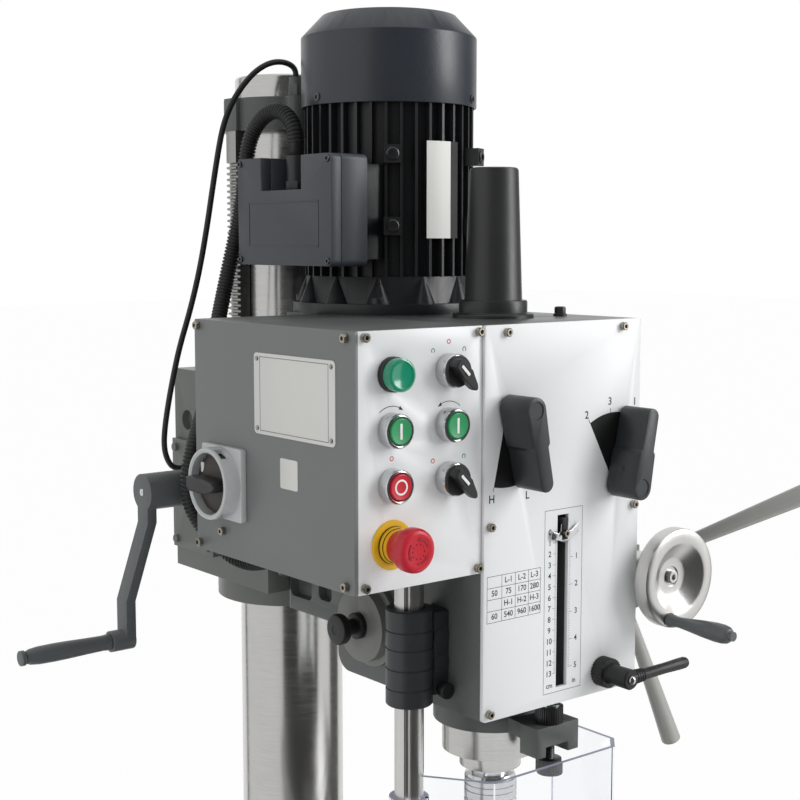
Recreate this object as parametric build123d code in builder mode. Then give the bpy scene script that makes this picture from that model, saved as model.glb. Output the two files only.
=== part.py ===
from build123d import *
import os
from math import acos, cos, pi, radians, sin, tan

os.makedirs("parts", exist_ok=True)

# Gear-head mill drill on a round column, in millimetres. X is to the operator's right, Y to the
# back and Z up. The origin lies under the base, midway between its four anchor holes. Places on the
# head are measured from the middle of the bottom edge of its front panel.

# Layout of the machine
COLUMN_Y = 200.0
SPINDLE_TO_COLUMN = 338.5
PANEL_TO_SPINDLE = 97.0
PANEL_TO_MOTOR = 255.0
HEAD_Z = 590.0
SPINDLE_Y = COLUMN_Y - SPINDLE_TO_COLUMN
FRONT_Y = SPINDLE_Y - PANEL_TO_SPINDLE
PANEL_TO_COLUMN = PANEL_TO_SPINDLE + SPINDLE_TO_COLUMN
HEAD = Location((0, FRONT_Y, HEAD_Z))

# Fits between pieces
RUN_FIT = 0.05
SLIDE_GAP = 0.2
PIECE_GAP = 0.3

# Base casting with its gutter, front-to-back way and anchor holes
BASE_WIDTH = 420.0
BASE_DEPTH = 640.0
BASE_HEIGHT = 100.0
BASE_WALL = 16.0
BASE_DECK = 20.0
BASE_CORNER_R = 30.0
RIM_WIDTH = 14.0
GUTTER_DEPTH = 10.0
ANCHOR_SPACING_X = 340.0
ANCHOR_SPACING_Y = 560.0
ANCHOR_HOLE_R = 8.0
ANCHOR_POST_R = 27.0
WAY_ROOT = 62.0
WAY_CREST = 75.0
WAY_RISE = 28.0
WAY_TO_FOOT = 10.0
Y_SCREW_Z = 80.0
Y_SLOT_HALF = 16.0
Y_SLOT_BACK = 30.0
Y_BEARING_BACK = 60.0
GUTTER_Z = BASE_HEIGHT - GUTTER_DEPTH
DECK_UNDER = GUTTER_Z - BASE_DECK
WAY_TOP = GUTTER_Z + WAY_RISE
WAY_FRONT = RIM_WIDTH - BASE_DEPTH / 2

# Column, its foot, the lift rack and the top collar (heights of the last three from the head's zero)
COLUMN_R = 57.5
COLUMN_WALL = 15.5
COLUMN_TOP = 594.0
COLUMN_CHAMFER = 2.0
FOOT_WALL = 24.5
FOOT_FLANGE = 33.0
FOOT_THICK = 25.0
FOOT_HEIGHT = 110.0
FOOT_BOLTS = 4
FOOT_BOLT_OUT = 17.0
FOOT_BOLT_START = 45.0
FOOT_BOLT_R = 8.0
FOOT_BOLT_HEAD_R = 13.0
FOOT_BOLT_HEAD = 10.0
FOOT_BOLT_DEPTH = 15.0
FOOT_BOLT_SLACK = 0.3
COLLAR_WALL = 12.5
COLLAR_BOTTOM = 534.5
COLLAR_TOP = 569.0
COLLAR_GAP = 0.1
RACK_SEAT = 0.5
RACK_DEPTH = 16.0
RACK_HALF = 9.5
RACK_BOTTOM = 64.0
RACK_PLAIN_TOP = 28.0
RACK_SLOT_GAP = 0.5
RACK_LUG_HALF = 12.0
RACK_LUG_WALL = 0.5
GLAND_R = 7.5
GLAND_NUT_R = 9.0
GLAND_HEIGHT = 20.0
GLAND_NUT = 12.0
GLAND_PAD_R = 12.0
GLAND_FRONT = 2.5
GLAND_SIDE = 27.6
COLUMN_BORE_R = COLUMN_R - COLUMN_WALL
FOOT_BOSS_R = COLUMN_R + FOOT_WALL
FOOT_R = FOOT_BOSS_R + FOOT_FLANGE
FOOT_BOLT_RADIUS = FOOT_BOSS_R + FOOT_BOLT_OUT
COLLAR_R = COLUMN_R + COLLAR_WALL
RACK_BACK = COLUMN_R + RACK_SEAT
RACK_TIP = RACK_BACK + RACK_DEPTH
RACK_LUG_OUT = RACK_TIP + RACK_LUG_WALL
COLLAR_GLAND_X = GLAND_SIDE - COLUMN_R
COLLAR_GLAND_Y = PANEL_TO_COLUMN - COLUMN_R - GLAND_FRONT
WAY_BACK = COLUMN_Y - FOOT_R - WAY_TO_FOOT

# Tooth form of the racks and pinions: stub teeth with a little backlash
PRESSURE_ANGLE = radians(20)
ADDENDUM = 0.8
DEDENDUM = 1.15
BACKLASH = 0.3
FLANK_STEP = 0.1

# Saddle and cross table
SADDLE_WIDTH = 260.0
SADDLE_LENGTH = 210.0
SADDLE_BOTTOM = 102.0
SADDLE_TOP = 163.0
SADDLE_CORNER_R = 12.0
CROSS_ROOT = 57.0
CROSS_CREST = 70.0
CROSS_RISE = 22.0
NUT_HALF_LENGTH = 25.0
NUT_HALF_WIDTH = 13.0
NUT_DROP = 14.0
TABLE_LENGTH = 800.0
TABLE_WIDTH = 240.0
TABLE_TOP = 235.0
TABLE_UNDER = 165.0
SLOT_COUNT = 3
SLOT_PITCH = 75.0
SLOT_WIDTH = 14.0
SLOT_DEPTH = 14.0
SLOT_FOOT_WIDTH = 24.0
SLOT_FOOT_DEPTH = 10.0
BRACKET_THICK = 18.0
BRACKET_HALF = 55.0
BRACKET_DROP = 40.0
X_SCREW_Z = 150.0
SCREW_R = 9.0
WHEEL_RIM_R = 70.0
WHEEL_RIM_WIDTH = 18.0
WHEEL_RIM_THICK = 16.0
WHEEL_RIM_CHAMFER = 2.0
WHEEL_HUB_R = 20.0
WHEEL_HUB = 24.0
WHEEL_SPOKE_R = 7.0
WHEEL_SPOKES = 3
WHEEL_SPOKE_START = 30.0
WHEEL_GAP = 6.0
WHEEL_HANDLE_R = 10.0
WHEEL_HANDLE = 70.0
WHEEL_STEM_R = 6.0

# Column bracket with the lift housing on its left
BOSS_WALL = 25.5
BOSS_R = COLUMN_R + BOSS_WALL
BOSS_BOTTOM = 23.0
BOSS_TOP = 300.0
ARM_HALF = 75.0
ARM_BOTTOM = 60.0
HOUSING_WALL = 7.1
HOUSING_FRONT = 272.0
HOUSING_STEP_BACK = 300.0
HOUSING_STEP_TOP = 130.0
HOUSING_TAIL = 46.5
HOUSING_BACK = PANEL_TO_COLUMN + HOUSING_TAIL
HOUSING_BOTTOM = 61.0
HOUSING_TOP = 279.0
CLAMP_LUG_HALF = 30.0
CLAMP_LUG = 29.0
CLAMP_LUG_OUT = BOSS_R + CLAMP_LUG
CLAMP_LUG_Z = (80.0, 250.0)
CLAMP_SLIT = 5.0
CLAMP_BOLT_Z = (115.0, 215.0)
CLAMP_BOLT_R = 7.0
CLAMP_BOLT_HEAD_R = 12.0
CLAMP_BOLT_HEAD = 9.0
CLAMP_BOLT_OUT = 15.0
CLAMP_BOLT_Y = PANEL_TO_COLUMN + BOSS_R + CLAMP_BOLT_OUT
COVER_THICK = 7.0
COVER_TAIL = 41.5
COVER_BACK = PANEL_TO_COLUMN + COVER_TAIL
COVER_STEP_BACK = 395.0
COVER_BOTTOM = 83.5
COVER_TOP = 203.0
COVER_SCREW_INSET = 9.0
COVER_SCREW_R = 4.5
COVER_SCREW_HEAD = 4.0
SIGHT_TAIL = 20.5
SIGHT_HOLE = (PANEL_TO_COLUMN + SIGHT_TAIL, 224.0)
SIGHT_HOLE_R = 11.0
SIGHT_HOLE_DEPTH = 8.0

# Lift drive: crank and worm shaft, and the pinion shaft that meets the rack
LIFT_MODULE = 2.0
LIFT_TEETH = 16
LIFT_PINION_HALF = 11.0
LIFT_SHAFT_R = 9.0
LIFT_WHEEL_R = 24.0
LIFT_WHEEL_HALF = 12.0
WORM_R = 10.0
WORM_GAP = 0.8
LIFT_WALL = 8.0
LIFT_SHELL = 5.0
LIFT_ROOM = 1.5
CRANK_Y = 300.0
CRANK_Z = 181.0
CRANK_FACE = -262.0
CRANK_HUB_ROOT = -205.0
CRANK_HUB_R = 17.5
CRANK_THICK = 10.0
CRANK_WIDTH = 19.0
CRANK_RADIUS = 138.5
CRANK_LEAN = 0.0
CRANK_OFFSET = 24.0
CRANK_BEND_START = 29.0
CRANK_BEND_END = 101.0
CRANK_BOSS_R = 10.0
CRANK_BOSS = 23.0
CRANK_GRIP_R = 8.5
CRANK_GRIP = 85.0
CRANK_GRIP_EDGE_R = 3.0
GRIP_PIN_R = 5.0
GRIP_END_GAP = 0.3
GRIP_CAP = 4.0
GRIP_CAP_R = 7.0
WORM_PAST_AXIS = 18.4

# Gearbox casting and front panel
PANEL_THICK = 4.0
PANEL_CORNER_R = 3.0
HEAD_HEIGHT = 346.6
GEARBOX_HALF = 95.0
PANEL_OVERHANG = 1.7
PANEL_HALF = GEARBOX_HALF + PANEL_OVERHANG
GEARBOX_BACK = 305.0
GEARBOX_WALL = 12.0
GEARBOX_EDGE_R = 8.0
GEARBOX_REAR_WALL = 33.0
NOSE_EDGE_R = 18.0
REAR_BOTTOM = 43.0
NOSE_BACK = 215.0
CHAMBER_FLOOR = 165.0
REAR_CHAMBER_FRONT = 227.0
REAR_CHAMBER_TOP = 153.0
POCKETS = (((226.0, 248.0), (62.0, 79.0)), ((260.0, 297.0), (57.0, 79.0)))
POCKET_DEPTH = 10.0
POCKET_R = 6.0
MOTOR_PAD_R = 95.0
MOTOR_PAD_THICK = 24.0
SCALE_SLOT_X = (-8.3, 5.3)
SCALE_SLOT_Z = (15.0, 173.6)

# Electrical box on the left, with its side cover and control panel
BOX_WIDTH = 134.0
BOX_LEFT = -GEARBOX_HALF - BOX_WIDTH
BOX_BACK = 248.0
BOX_BOTTOM = 133.0
BOX_STEP_FRONT = 140.0
BOX_STEP = 157.0
BOX_SHEET = 2.0
COVER_SHEET = 4.0
CONTROL_FACE = 3.0
CONTROL_THICK = 3.0
PANEL_SEAM = 0.3
COVER_CORNER_R = 2.0

# Controls on that panel: two columns of 22 mm devices and the emergency stop below
CONTROL_COLUMNS = (34.0, 94.5)
CONTROL_X = tuple(BOX_LEFT + x for x in CONTROL_COLUMNS)
CONTROL_Z = (310.8, 265.4, 220.0)
DEVICES = tuple((x, z) for z in CONTROL_Z for x in CONTROL_X)
ESTOP_PLACE = (CONTROL_X[0], 171.0)
BUTTON_R = 11.0
BUTTON_GAP = 0.3
BUTTON_OUT = 13.0
BUTTON_STEM = 18.0
BUTTON_EDGE_R = 1.5
BEZEL_R = 14.5
BEZEL_OUT = 12.4
SELECTOR_OUT = 24.0
SELECTOR_BASE = 13.0
SELECTOR_BAR = 8.0
SELECTOR_BAR_LENGTH = 26.0
MODE_LEAN = -45.0
COOLANT_LEAN = -45.0
LAMP_R = 13.5
LAMP_OUT = 15.0
LAMP_RIM = 6.0
ESTOP_COLLAR_R = 20.6
ESTOP_COLLAR_OUT = 6.0
ESTOP_STEM_R = 11.0
ESTOP_HEAD_R = 18.4
ESTOP_HEAD = 15.0
ESTOP_OUT = 36.0
ESTOP_EDGE_R = 5.0

# Main isolator on the side cover
SWITCH_Y = 195.0
SWITCH_Z = 202.0
SWITCH_PLATE = 66.0
SWITCH_PLATE_THICK = 6.0
SWITCH_PLATE_R = 3.0
SWITCH_RING_R = 32.5
SWITCH_RING_WALL = 5.0
SWITCH_RING_OUT = 16.0
SWITCH_DISH = 10.0
SWITCH_BAR = 13.0
SWITCH_BAR_LENGTH = 50.0
SWITCH_BAR_OUT = 27.0
SWITCH_SHAFT_R = 5.0
SWITCH_SHAFT_IN = 5.0

# Socket-head screws on the panels
SCREW_HEAD_R = 4.2
SCREW_HEAD = 4.0
SOCKET_R = 2.0
SOCKET_DEPTH = 2.4
PANEL_TOP_SCREWS = ((-72.0, 340.0), (72.0, 340.0))
SIDE_SCREW_INSET = 5.0
SIDE_SCREW_Z = (172.8, 7.0)
CONTROL_SCREW_COLUMNS = (6.0, 127.5)
CONTROL_SCREW_Z = (341.5, 138.5)
COVER_SCREWS = ((241.0, 341.0), (13.0, 341.0), (241.0, 139.5), (13.0, 139.5), (201.0, 156.0))

# Motor on the top of the head
MOTOR_FLANGE_R = 97.5
MOTOR_FLANGE = 10.4
MOTOR_SKIRT = 26.0
MOTOR_SKIRT_R = 84.0
MOTOR_RIBS = 12
MOTOR_RIB_START = 15.0
MOTOR_RIB_R = 12.0
MOTOR_RIB_TOP_R = 1.0
MOTOR_CORE_R = 76.0
MOTOR_FIN_R = 85.0
MOTOR_FIN = 2.6
MOTOR_FINS = 36
MOTOR_FIN_ROOT = 2.0
STATOR_LENGTH = 168.0
MOTOR_SHIELD = 12.0
STATOR_BORE_R = 52.5
ROTOR_R = 51.7
ROTOR_BELOW = 13.0
ROTOR_ABOVE = 19.0
MOTOR_SHAFT_R = 12.0
SHAFT_HOLE_GAP = 2.0
MOTOR_SHAFT_DOWN = 56.6
MOTOR_SHAFT_UP = 47.0
FAN_R = 72.0
FAN_GAP = 15.0
FAN_HEIGHT = 24.0
FAN_HUB_R = 20.0
FAN_BLADES = 8
FAN_BLADE = 3.0
FAN_COVER_R = 88.0
FAN_COVER_LAP = 2.0
FAN_COVER_SIDE = 68.5
FAN_COVER_CONE = 22.0
FAN_COVER_TOP_R = 67.0
FAN_COVER_SHEET = 2.5
GRILLE_ROWS = ((24.0, 8), (44.0, 14))
GRILLE_R = 5.5
TERMINAL_PAD = 88.0
TERMINAL_PAD_HALF = 60.0
TERMINAL_PAD_RISE = 17.0
TERMINAL_PAD_HEIGHT = 90.0
TERMINAL_FRONT = 80.0
TERMINAL_REAR = 79.0
TERMINAL_RISE = 11.0
TERMINAL_HEIGHT = 104.0
TERMINAL_BODY = 30.0
TERMINAL_LID = 12.0
NOTCH_FRONT = 31.0
NOTCH_REAR = 37.0
NOTCH_DEPTH = 32.0
TERMINAL_WALL = 4.0
TERMINAL_R = 6.0
MOTOR_LUG = 17.0
MOTOR_LUG_OUT = 98.0
MOTOR_LUG_ANGLES = (-126.0, -60.0, 60.0, 126.0)
MOTOR_LUG_RISES = (48.6, 116.5)
MOTOR_LUG_HOLE_R = 4.0
FLANGE_BOLTS = 4
FLANGE_BOLT_START = 45.0
FLANGE_BOLT_INSET = 7.0
FLANGE_BOLT_RADIUS = MOTOR_FLANGE_R - FLANGE_BOLT_INSET
FLANGE_BOLT_HEAD_R = 5.5
FLANGE_BOLT_HEAD = 6.0

# Caps on the head's top
CAP_FLANGE_R = 38.0
CAP_FLANGE = 4.0
CAP_RING_R = 32.0
CAP_RING = 16.1
CAP_BOTTOM_R = 27.0
CAP_TOP_R = 22.4
CAP_HEIGHT = 138.4
CAP_WALL = 3.5
OIL_PLUG = (65.0, 74.0)
OIL_PLUG_R = 6.5
OIL_PLUG_HEIGHT = 9.0

# Quill, spindle, chuck and depth stop
QUILL_R = 46.7
QUILL_BOTTOM = -67.0
QUILL_TOP = 205.0
SPINDLE_R = 20.0
SPINDLE_SPLINE_R = 15.0
SPINDLE_SHOULDER = 215.0
SPINDLE_ABOVE = 108.4
NOSE_R = 30.0
NOSE_LENGTH = 17.0
CHUCK_NECK_R = 18.0
CHUCK_NECK = 8.0
CHUCK_R = 25.0
CHUCK_BODY = 58.0
CHUCK_TIP_R = 14.0
CHUCK_TIP = 20.0
CHUCK_BORE_R = 6.5
CHUCK_BORE = 40.0
STOP_RING_WALL = 8.6
STOP_RING_R = QUILL_R + STOP_RING_WALL
STOP_RING_Z = (-37.0, -4.0)
STOP_ARM_HALF = 20.0
STOP_HEAD_HALF = 26.0
STOP_HEAD_Y = (4.0, 28.0)
STOP_HEAD_Z = (-50.0, -22.0)
STOP_NOTCH_HALF = 14.0
STOP_NOTCH = 9.0
DEPTH_ROD = (-1.5, 15.0)
DEPTH_ROD_R = 5.5
ROD_HOLE_GAP = 0.05
DEPTH_ROD_TOP = 166.0
DEPTH_NUT_R = 13.0
DEPTH_NUT = 16.0
DEPTH_ROD_BOTTOM = -70.0
ROD_NUT_R = 12.0
ROD_NECK_R = 7.0
ROD_NUT = 14.0
DEPTH_CHANNEL_HALF = 11.0
DEPTH_CHANNEL_BACK = 27.0
DEPTH_CHANNEL_TOP = 182.0
POINTER_HALF = 4.0
POINTER_PLATE_HALF = 18.0
POINTER_Y = (-4.0, -1.0)
POINTER_Z = (153.0, 163.0)

# Quill feed: pinion shaft, capstan levers, spring housing and fine-feed handwheel
FEED_MODULE = 2.5
FEED_TEETH = 15
FEED_TO_QUILL = 14.55
FEED_Y = PANEL_TO_SPINDLE + QUILL_R + FEED_TO_QUILL
FEED_Z = 57.0
FEED_PINION_HALF = 12.0
FEED_SHAFT_R = 13.0
FEED_JOURNAL_R = 22.0
FEED_JOURNAL_START = 50.0
FEED_RACK_GAPS = (-2, 19)
QUILL_RACK_HALF = 13.5
SPRING_R = 35.0
SPRING_DEPTH = 17.0
SPRING_FACE = -GEARBOX_HALF - SPRING_DEPTH
SPRING_BASE_R = 41.0
SPRING_BASE = 6.0
SPRING_LID = 8.0
KNOB_STEM_R = 5.0
KNOB_STEM = 6.0
KNOB_NECK_R = 9.0
KNOB_NECK = 10.0
KNOB_R = 15.0
KNOB_LENGTH = 18.0
FEED_HOUSING_R = 44.0
FEED_HOUSING_LENGTH = 103.0
FEED_HOUSING_END = GEARBOX_HALF + FEED_HOUSING_LENGTH
HUB_R = 32.0
HUB_GAP = 2.0
HUB_LENGTH = 55.0
HUB_START = FEED_HOUSING_END + HUB_GAP
HUB_X = (HUB_START, HUB_START + HUB_LENGTH)
LEVER_COUNT = 3
LEVER_CONE = 25.5
LEVER_LENGTH = 211.0
LEVER_ROOT_R = 6.0
LEVER_TIP_R = 11.0
LEVER_NECK = 26.0
LEVER_FIT = 0.05
LEVER_START = 20.0
LEVER_INSET = 36.0
LEVER_X = HUB_START + LEVER_INSET
FINE_OUT = 35.0
FINE_X = GEARBOX_HALF + FINE_OUT
FINE_Z = 100.0
FINE_R = 47.5
FINE_DISH_R = 33.0
FINE_DISH = 11.0
FINE_RIM = 16.0
FINE_FACE = -25.0
FINE_HUB_R = 18.0
FINE_SHAFT_R = 9.0
FINE_HOUSING_INNER = 2.5
FINE_HOUSING_OUTER = 50.0
FINE_HOUSING_X = (GEARBOX_HALF + FINE_HOUSING_INNER, GEARBOX_HALF + FINE_HOUSING_OUTER)
FINE_HOUSING_Y = (40.0, 165.0)
FINE_HOUSING_Z = (57.0, 120.0)
FINE_SHAFT_BACK = 150.0
FINE_GRIP_RADIUS = 40.0
FINE_GRIP_ANGLE = -111.0
FINE_GRIP_R = 9.0
FINE_GRIP_NECK_R = 7.0
FINE_GRIP = 72.0

# Levers on the front panel
RANGE_PIVOT = (-70.5, 275.3)
RANGE_TARGET = (-57.0, 211.2)
SPEED_PIVOT = (63.0, 195.5)
SPEED_TARGET = (75.3, 258.8)
LEVER_PIVOT_R = 11.5
LEVER_END_R = 8.0
LEVER_REACH = 64.5
LEVER_OUT = 36.5
LEVER_CLEAR = 2.0
LEVER_STUD_R = 6.0
LEVER_EDGE_R = 3.0
LOCK_PIVOT = (50.5, 20.0)
LOCK_FLANGE_R = 14.0
LOCK_FLANGE = 13.0
LOCK_HUB_R = 9.5
LOCK_HUB_OUT = 39.0
LOCK_STUD = 30.0
LOCK_REACH = 73.5
LOCK_ROOT_R = 8.0
LOCK_TIP_R = 6.5
LOCK_ARM = 11.0
LOCK_RISE = 1.0

# Chuck guard: sleeve clamp, fluted post and clear shield
POST_OUT = 35.0
POST_X = -GEARBOX_HALF - POST_OUT
POST_Y = 60.7
POST_R = 13.25
POST_Z = (-210.0, 128.0)
POST_FLUTES = 4
POST_FLUTE_R = 3.2
POST_FLUTE_START = 45.0
SLEEVE_R = 21.0
SLEEVE_Z = (10.0, 97.0)
SLEEVE_WEB_Y = (47.0, 75.0)
SLEEVE_WEB_Z = (16.0, 92.0)
THUMB_OUT = 11.0
THUMB_X = -GEARBOX_HALF - THUMB_OUT
THUMB_Z = 22.0
THUMB_R = 7.5
THUMB_LENGTH = 12.0
THUMB_STEM_R = 4.0
THUMB_STEM = 10.0
SHIELD_SHEET = 4.0
SHIELD_LEFT = (-84.0, -2.0)
SHIELD_RIGHT = (66.0, -2.0)
SHIELD_CHAMFER = (82.0, 14.0)
SHIELD_WING = (82.0, 95.0)
SHIELD_Z = (-206.0, -56.0)
SHIELD_SLEEVE_R = 18.0
SHIELD_SLEEVE_Z = (-190.0, -75.0)

# Corrugated motor conduit and the thin cable from the collar to the bracket
CONDUIT_R = 8.0
CONDUIT_VALLEY_R = 6.9
CONDUIT_BORE_R = 5.8
CONDUIT_PITCH = 4.2
CONDUIT_SLEEVE = 1.5
CONDUIT_NUT_R = 12.0
CONDUIT_NUT = 9.0
CONDUIT_GLAND = 34.0
CONDUIT_GLAND_OUT = 15.0
CONDUIT_GLAND_BACK = 15.0
BEND_SHARE = 0.45
ELBOW_R = 10.0
ELBOW_BOTTOM = 116.0
ELBOW_Y = 165.0
RIB_RISE = 0.18
RIB_FALL = 0.56
RIB_FOOT = 0.74
CONDUIT_ROUTE = (
    (-103, 270, 500), (-103, 270, 514), (-103, 274, 530), (-104, 288, 543), (-105, 308, 546),
    (-107, 328, 538), (-109, 342, 522), (-110, 349, 500), (-112, 352, 470), (-117, 354, 436),
    (-126, 354, 402), (-138, 350, 366), (-152, 340, 334), (-168, 324, 304), (-185, 304, 276),
    (-204, 286, 248), (-221, 274, 222), (-229.5, 270, 197), (-228, 270, 172), (-219, 269, 152),
    (-206, 264, 136), (-195, 250, 124), (-188, 230, 121), (-186, 208, 126), (-186, 188, 126),
)
CABLE_R = 3.0
CABLE_CLIP_R = 7.0
CABLE_ROUTE = (
    (-29.9, 375.5, 589), (-29.9, 375.5, 595), (-35, 375.2, 601), (-48, 374.5, 603.8), (-64, 373.5, 601.5),
    (-82, 372.3, 592), (-98, 371.2, 577), (-111, 371, 560), (-120, 371.3, 542), (-126, 372, 522),
    (-133, 375, 478), (-139, 379, 432), (-146, 384, 386), (-155, 389, 345), (-164, 395, 310),
    (-167, 405, 276), (-166.5, 418, 244), (-165.5, 427, 219), (-164, 431.5, 201), (-160, 432.7, 187),
    (-152, 433, 176), (-140, 433, 176),
)

# Sizes that follow from those above
CAVITY_HALF = GEARBOX_HALF - GEARBOX_WALL
CHAMBER_TOP = HEAD_HEIGHT - GEARBOX_WALL
MOTOR_SKIRT_BOTTOM = HEAD_HEIGHT + MOTOR_FLANGE
MOTOR_SKIRT_TOP = MOTOR_SKIRT_BOTTOM + MOTOR_SKIRT
MOTOR_TOP = MOTOR_SKIRT_TOP + STATOR_LENGTH
MOTOR_SHAFT_Z = (HEAD_HEIGHT - MOTOR_SHAFT_DOWN, MOTOR_TOP + MOTOR_SHAFT_UP)
ROTOR_Z = (MOTOR_SKIRT_TOP + ROTOR_BELOW, MOTOR_TOP - ROTOR_ABOVE)
FAN_Z = (MOTOR_TOP + FAN_GAP, MOTOR_TOP + FAN_GAP + FAN_HEIGHT)
FAN_COVER_BOTTOM = MOTOR_TOP - FAN_COVER_LAP
FAN_COVER_EAVE = FAN_COVER_BOTTOM + FAN_COVER_SIDE
FAN_COVER_TOP = FAN_COVER_EAVE + FAN_COVER_CONE
TERMINAL_PAD_Y = (PANEL_TO_MOTOR - TERMINAL_PAD_HALF, PANEL_TO_MOTOR + TERMINAL_PAD_HALF)
TERMINAL_PAD_BOTTOM = MOTOR_SKIRT_TOP + TERMINAL_PAD_RISE
TERMINAL_PAD_Z = (TERMINAL_PAD_BOTTOM, TERMINAL_PAD_BOTTOM + TERMINAL_PAD_HEIGHT)
TERMINAL_Y = (PANEL_TO_MOTOR - TERMINAL_FRONT, PANEL_TO_MOTOR + TERMINAL_REAR)
TERMINAL_BOTTOM = MOTOR_SKIRT_TOP + TERMINAL_RISE
TERMINAL_Z = (TERMINAL_BOTTOM, TERMINAL_BOTTOM + TERMINAL_HEIGHT)
NOTCH_Y = (PANEL_TO_MOTOR - NOTCH_FRONT, PANEL_TO_MOTOR + NOTCH_REAR)
NOTCH_Z = TERMINAL_Z[1] - NOTCH_DEPTH
MOTOR_LUG_Z = tuple(MOTOR_SKIRT_TOP + rise for rise in MOTOR_LUG_RISES)
CAP_RING_TOP = HEAD_HEIGHT + CAP_RING
CAP_TOP = HEAD_HEIGHT + CAP_HEIGHT
SPINDLE_TOP = HEAD_HEIGHT + SPINDLE_ABOVE
LIFT_PITCH_R = LIFT_MODULE * LIFT_TEETH / 2
LIFT_PITCH = pi * LIFT_MODULE
LIFT_AXIS_X = -RACK_TIP + ADDENDUM * LIFT_MODULE - LIFT_PITCH_R
LIFT_AXIS_Z = CRANK_Z + WORM_R + WORM_GAP + LIFT_WHEEL_R
HOUSING_LEFT = LIFT_AXIS_X - LIFT_WHEEL_R - LIFT_ROOM - HOUSING_WALL
WORM_END = LIFT_AXIS_X + WORM_PAST_AXIS
FEED_PITCH_R = FEED_MODULE * FEED_TEETH / 2
FEED_PITCH = pi * FEED_MODULE
FEED_PITCH_Y = FEED_Y - FEED_PITCH_R
LIFT_NOTCH_X = (-GEARBOX_HALF, LIFT_AXIS_X + LIFT_WHEEL_R + LIFT_SHELL)
LIFT_NOTCH_Y = (CRANK_Y - LIFT_WHEEL_HALF - LIFT_SHELL, GEARBOX_BACK)
LIFT_NOTCH_Z = (CRANK_Z - WORM_R - LIFT_SHELL, LIFT_AXIS_Z + LIFT_WHEEL_R + LIFT_SHELL)
CRANK_MID = CRANK_FACE + CRANK_THICK / 2
CRANK_END_X = CRANK_MID - CRANK_OFFSET
CRANK_DOWN = Vector(0, -sin(radians(CRANK_LEAN)), -cos(radians(CRANK_LEAN)))
CRANK_END = Vector(0, CRANK_Y, CRANK_Z) + CRANK_DOWN * CRANK_RADIUS
COVER_FACE = BOX_LEFT - COVER_SHEET
SWITCH_FACE = COVER_FACE - SWITCH_PLATE_THICK
FINE_GRIP_X = FINE_X + FINE_GRIP_RADIUS * cos(radians(FINE_GRIP_ANGLE))
FINE_GRIP_Z = FINE_Z + FINE_GRIP_RADIUS * sin(radians(FINE_GRIP_ANGLE))
NOSE_TOP = QUILL_BOTTOM - PIECE_GAP
NOSE_BOTTOM = NOSE_TOP - NOSE_LENGTH
CONTROL_BACK = CONTROL_FACE + CONTROL_THICK
TERMINAL_BACK = -TERMINAL_PAD
TERMINAL_SEAM = TERMINAL_BACK - TERMINAL_BODY
CONDUIT_GLAND_X = TERMINAL_BACK - CONDUIT_GLAND_OUT
CONDUIT_GLAND_Y = PANEL_TO_MOTOR + CONDUIT_GLAND_BACK


def save(piece, label, place=Location()):
    """Name a finished piece and write it where it stands on the machine."""
    placed = piece.moved(place)
    placed.label = label
    export_step(placed, f"parts/{label}.step")


def block(x, y, z, mode=Mode.ADD):
    """A box given by its (low, high) ends on each axis."""
    with Locations((sum(x) / 2, sum(y) / 2, sum(z) / 2)):
        Box(x[1] - x[0], y[1] - y[0], z[1] - z[0], mode=mode)


def rod_x(x, y, z, radius, mode=Mode.ADD):
    """A cylinder along X between its two ends."""
    with Locations(Location((sum(x) / 2, y, z), (0, 90, 0))):
        Cylinder(radius, x[1] - x[0], mode=mode)


def rod_y(x, y, z, radius, mode=Mode.ADD):
    """A cylinder along Y between its two ends."""
    with Locations(Location((x, sum(y) / 2, z), (90, 0, 0))):
        Cylinder(radius, y[1] - y[0], mode=mode)


def rod_z(x, y, z, radius, mode=Mode.ADD):
    """A cylinder along Z between its two ends."""
    with Locations((x, y, sum(z) / 2)):
        Cylinder(radius, z[1] - z[0], mode=mode)


def prism(plane, points, depth, mode=Mode.ADD):
    """A closed outline on a plane, raised along the plane's normal."""
    with BuildSketch(plane) as outline:
        with BuildLine():
            Polyline(*points, close=True)
        make_face()
    extrude(outline.sketch, amount=depth, mode=mode)


def facing_back(y):
    """A plane across the machine at this Y, drawn in X and Z, whose normal points to the back."""
    return Plane((0, y, 0), x_dir=(-1, 0, 0), z_dir=(0, 1, 0))


def facing_right(x):
    """A plane along the machine at this X, drawn in Y and Z, whose normal points to the right."""
    return Plane((x, 0, 0), x_dir=(0, 1, 0), z_dir=(1, 0, 0))


def facing_front(y):
    """A plane across the machine at this Y, drawn in X and Z, whose normal points to the front."""
    return Plane((0, y, 0), x_dir=(1, 0, 0), z_dir=(0, -1, 0))


def both_sides(half):
    """The (low, high) ends of a length that is centred on zero."""
    return (-half, half)


def around(middle, half):
    """The (low, high) ends of a length about its middle."""
    return (middle - half, middle + half)


def way_half(root, crest, rise, height):
    """Half the width of a dovetail way at a height over its root."""
    return root + (crest - root) * height / rise


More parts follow.
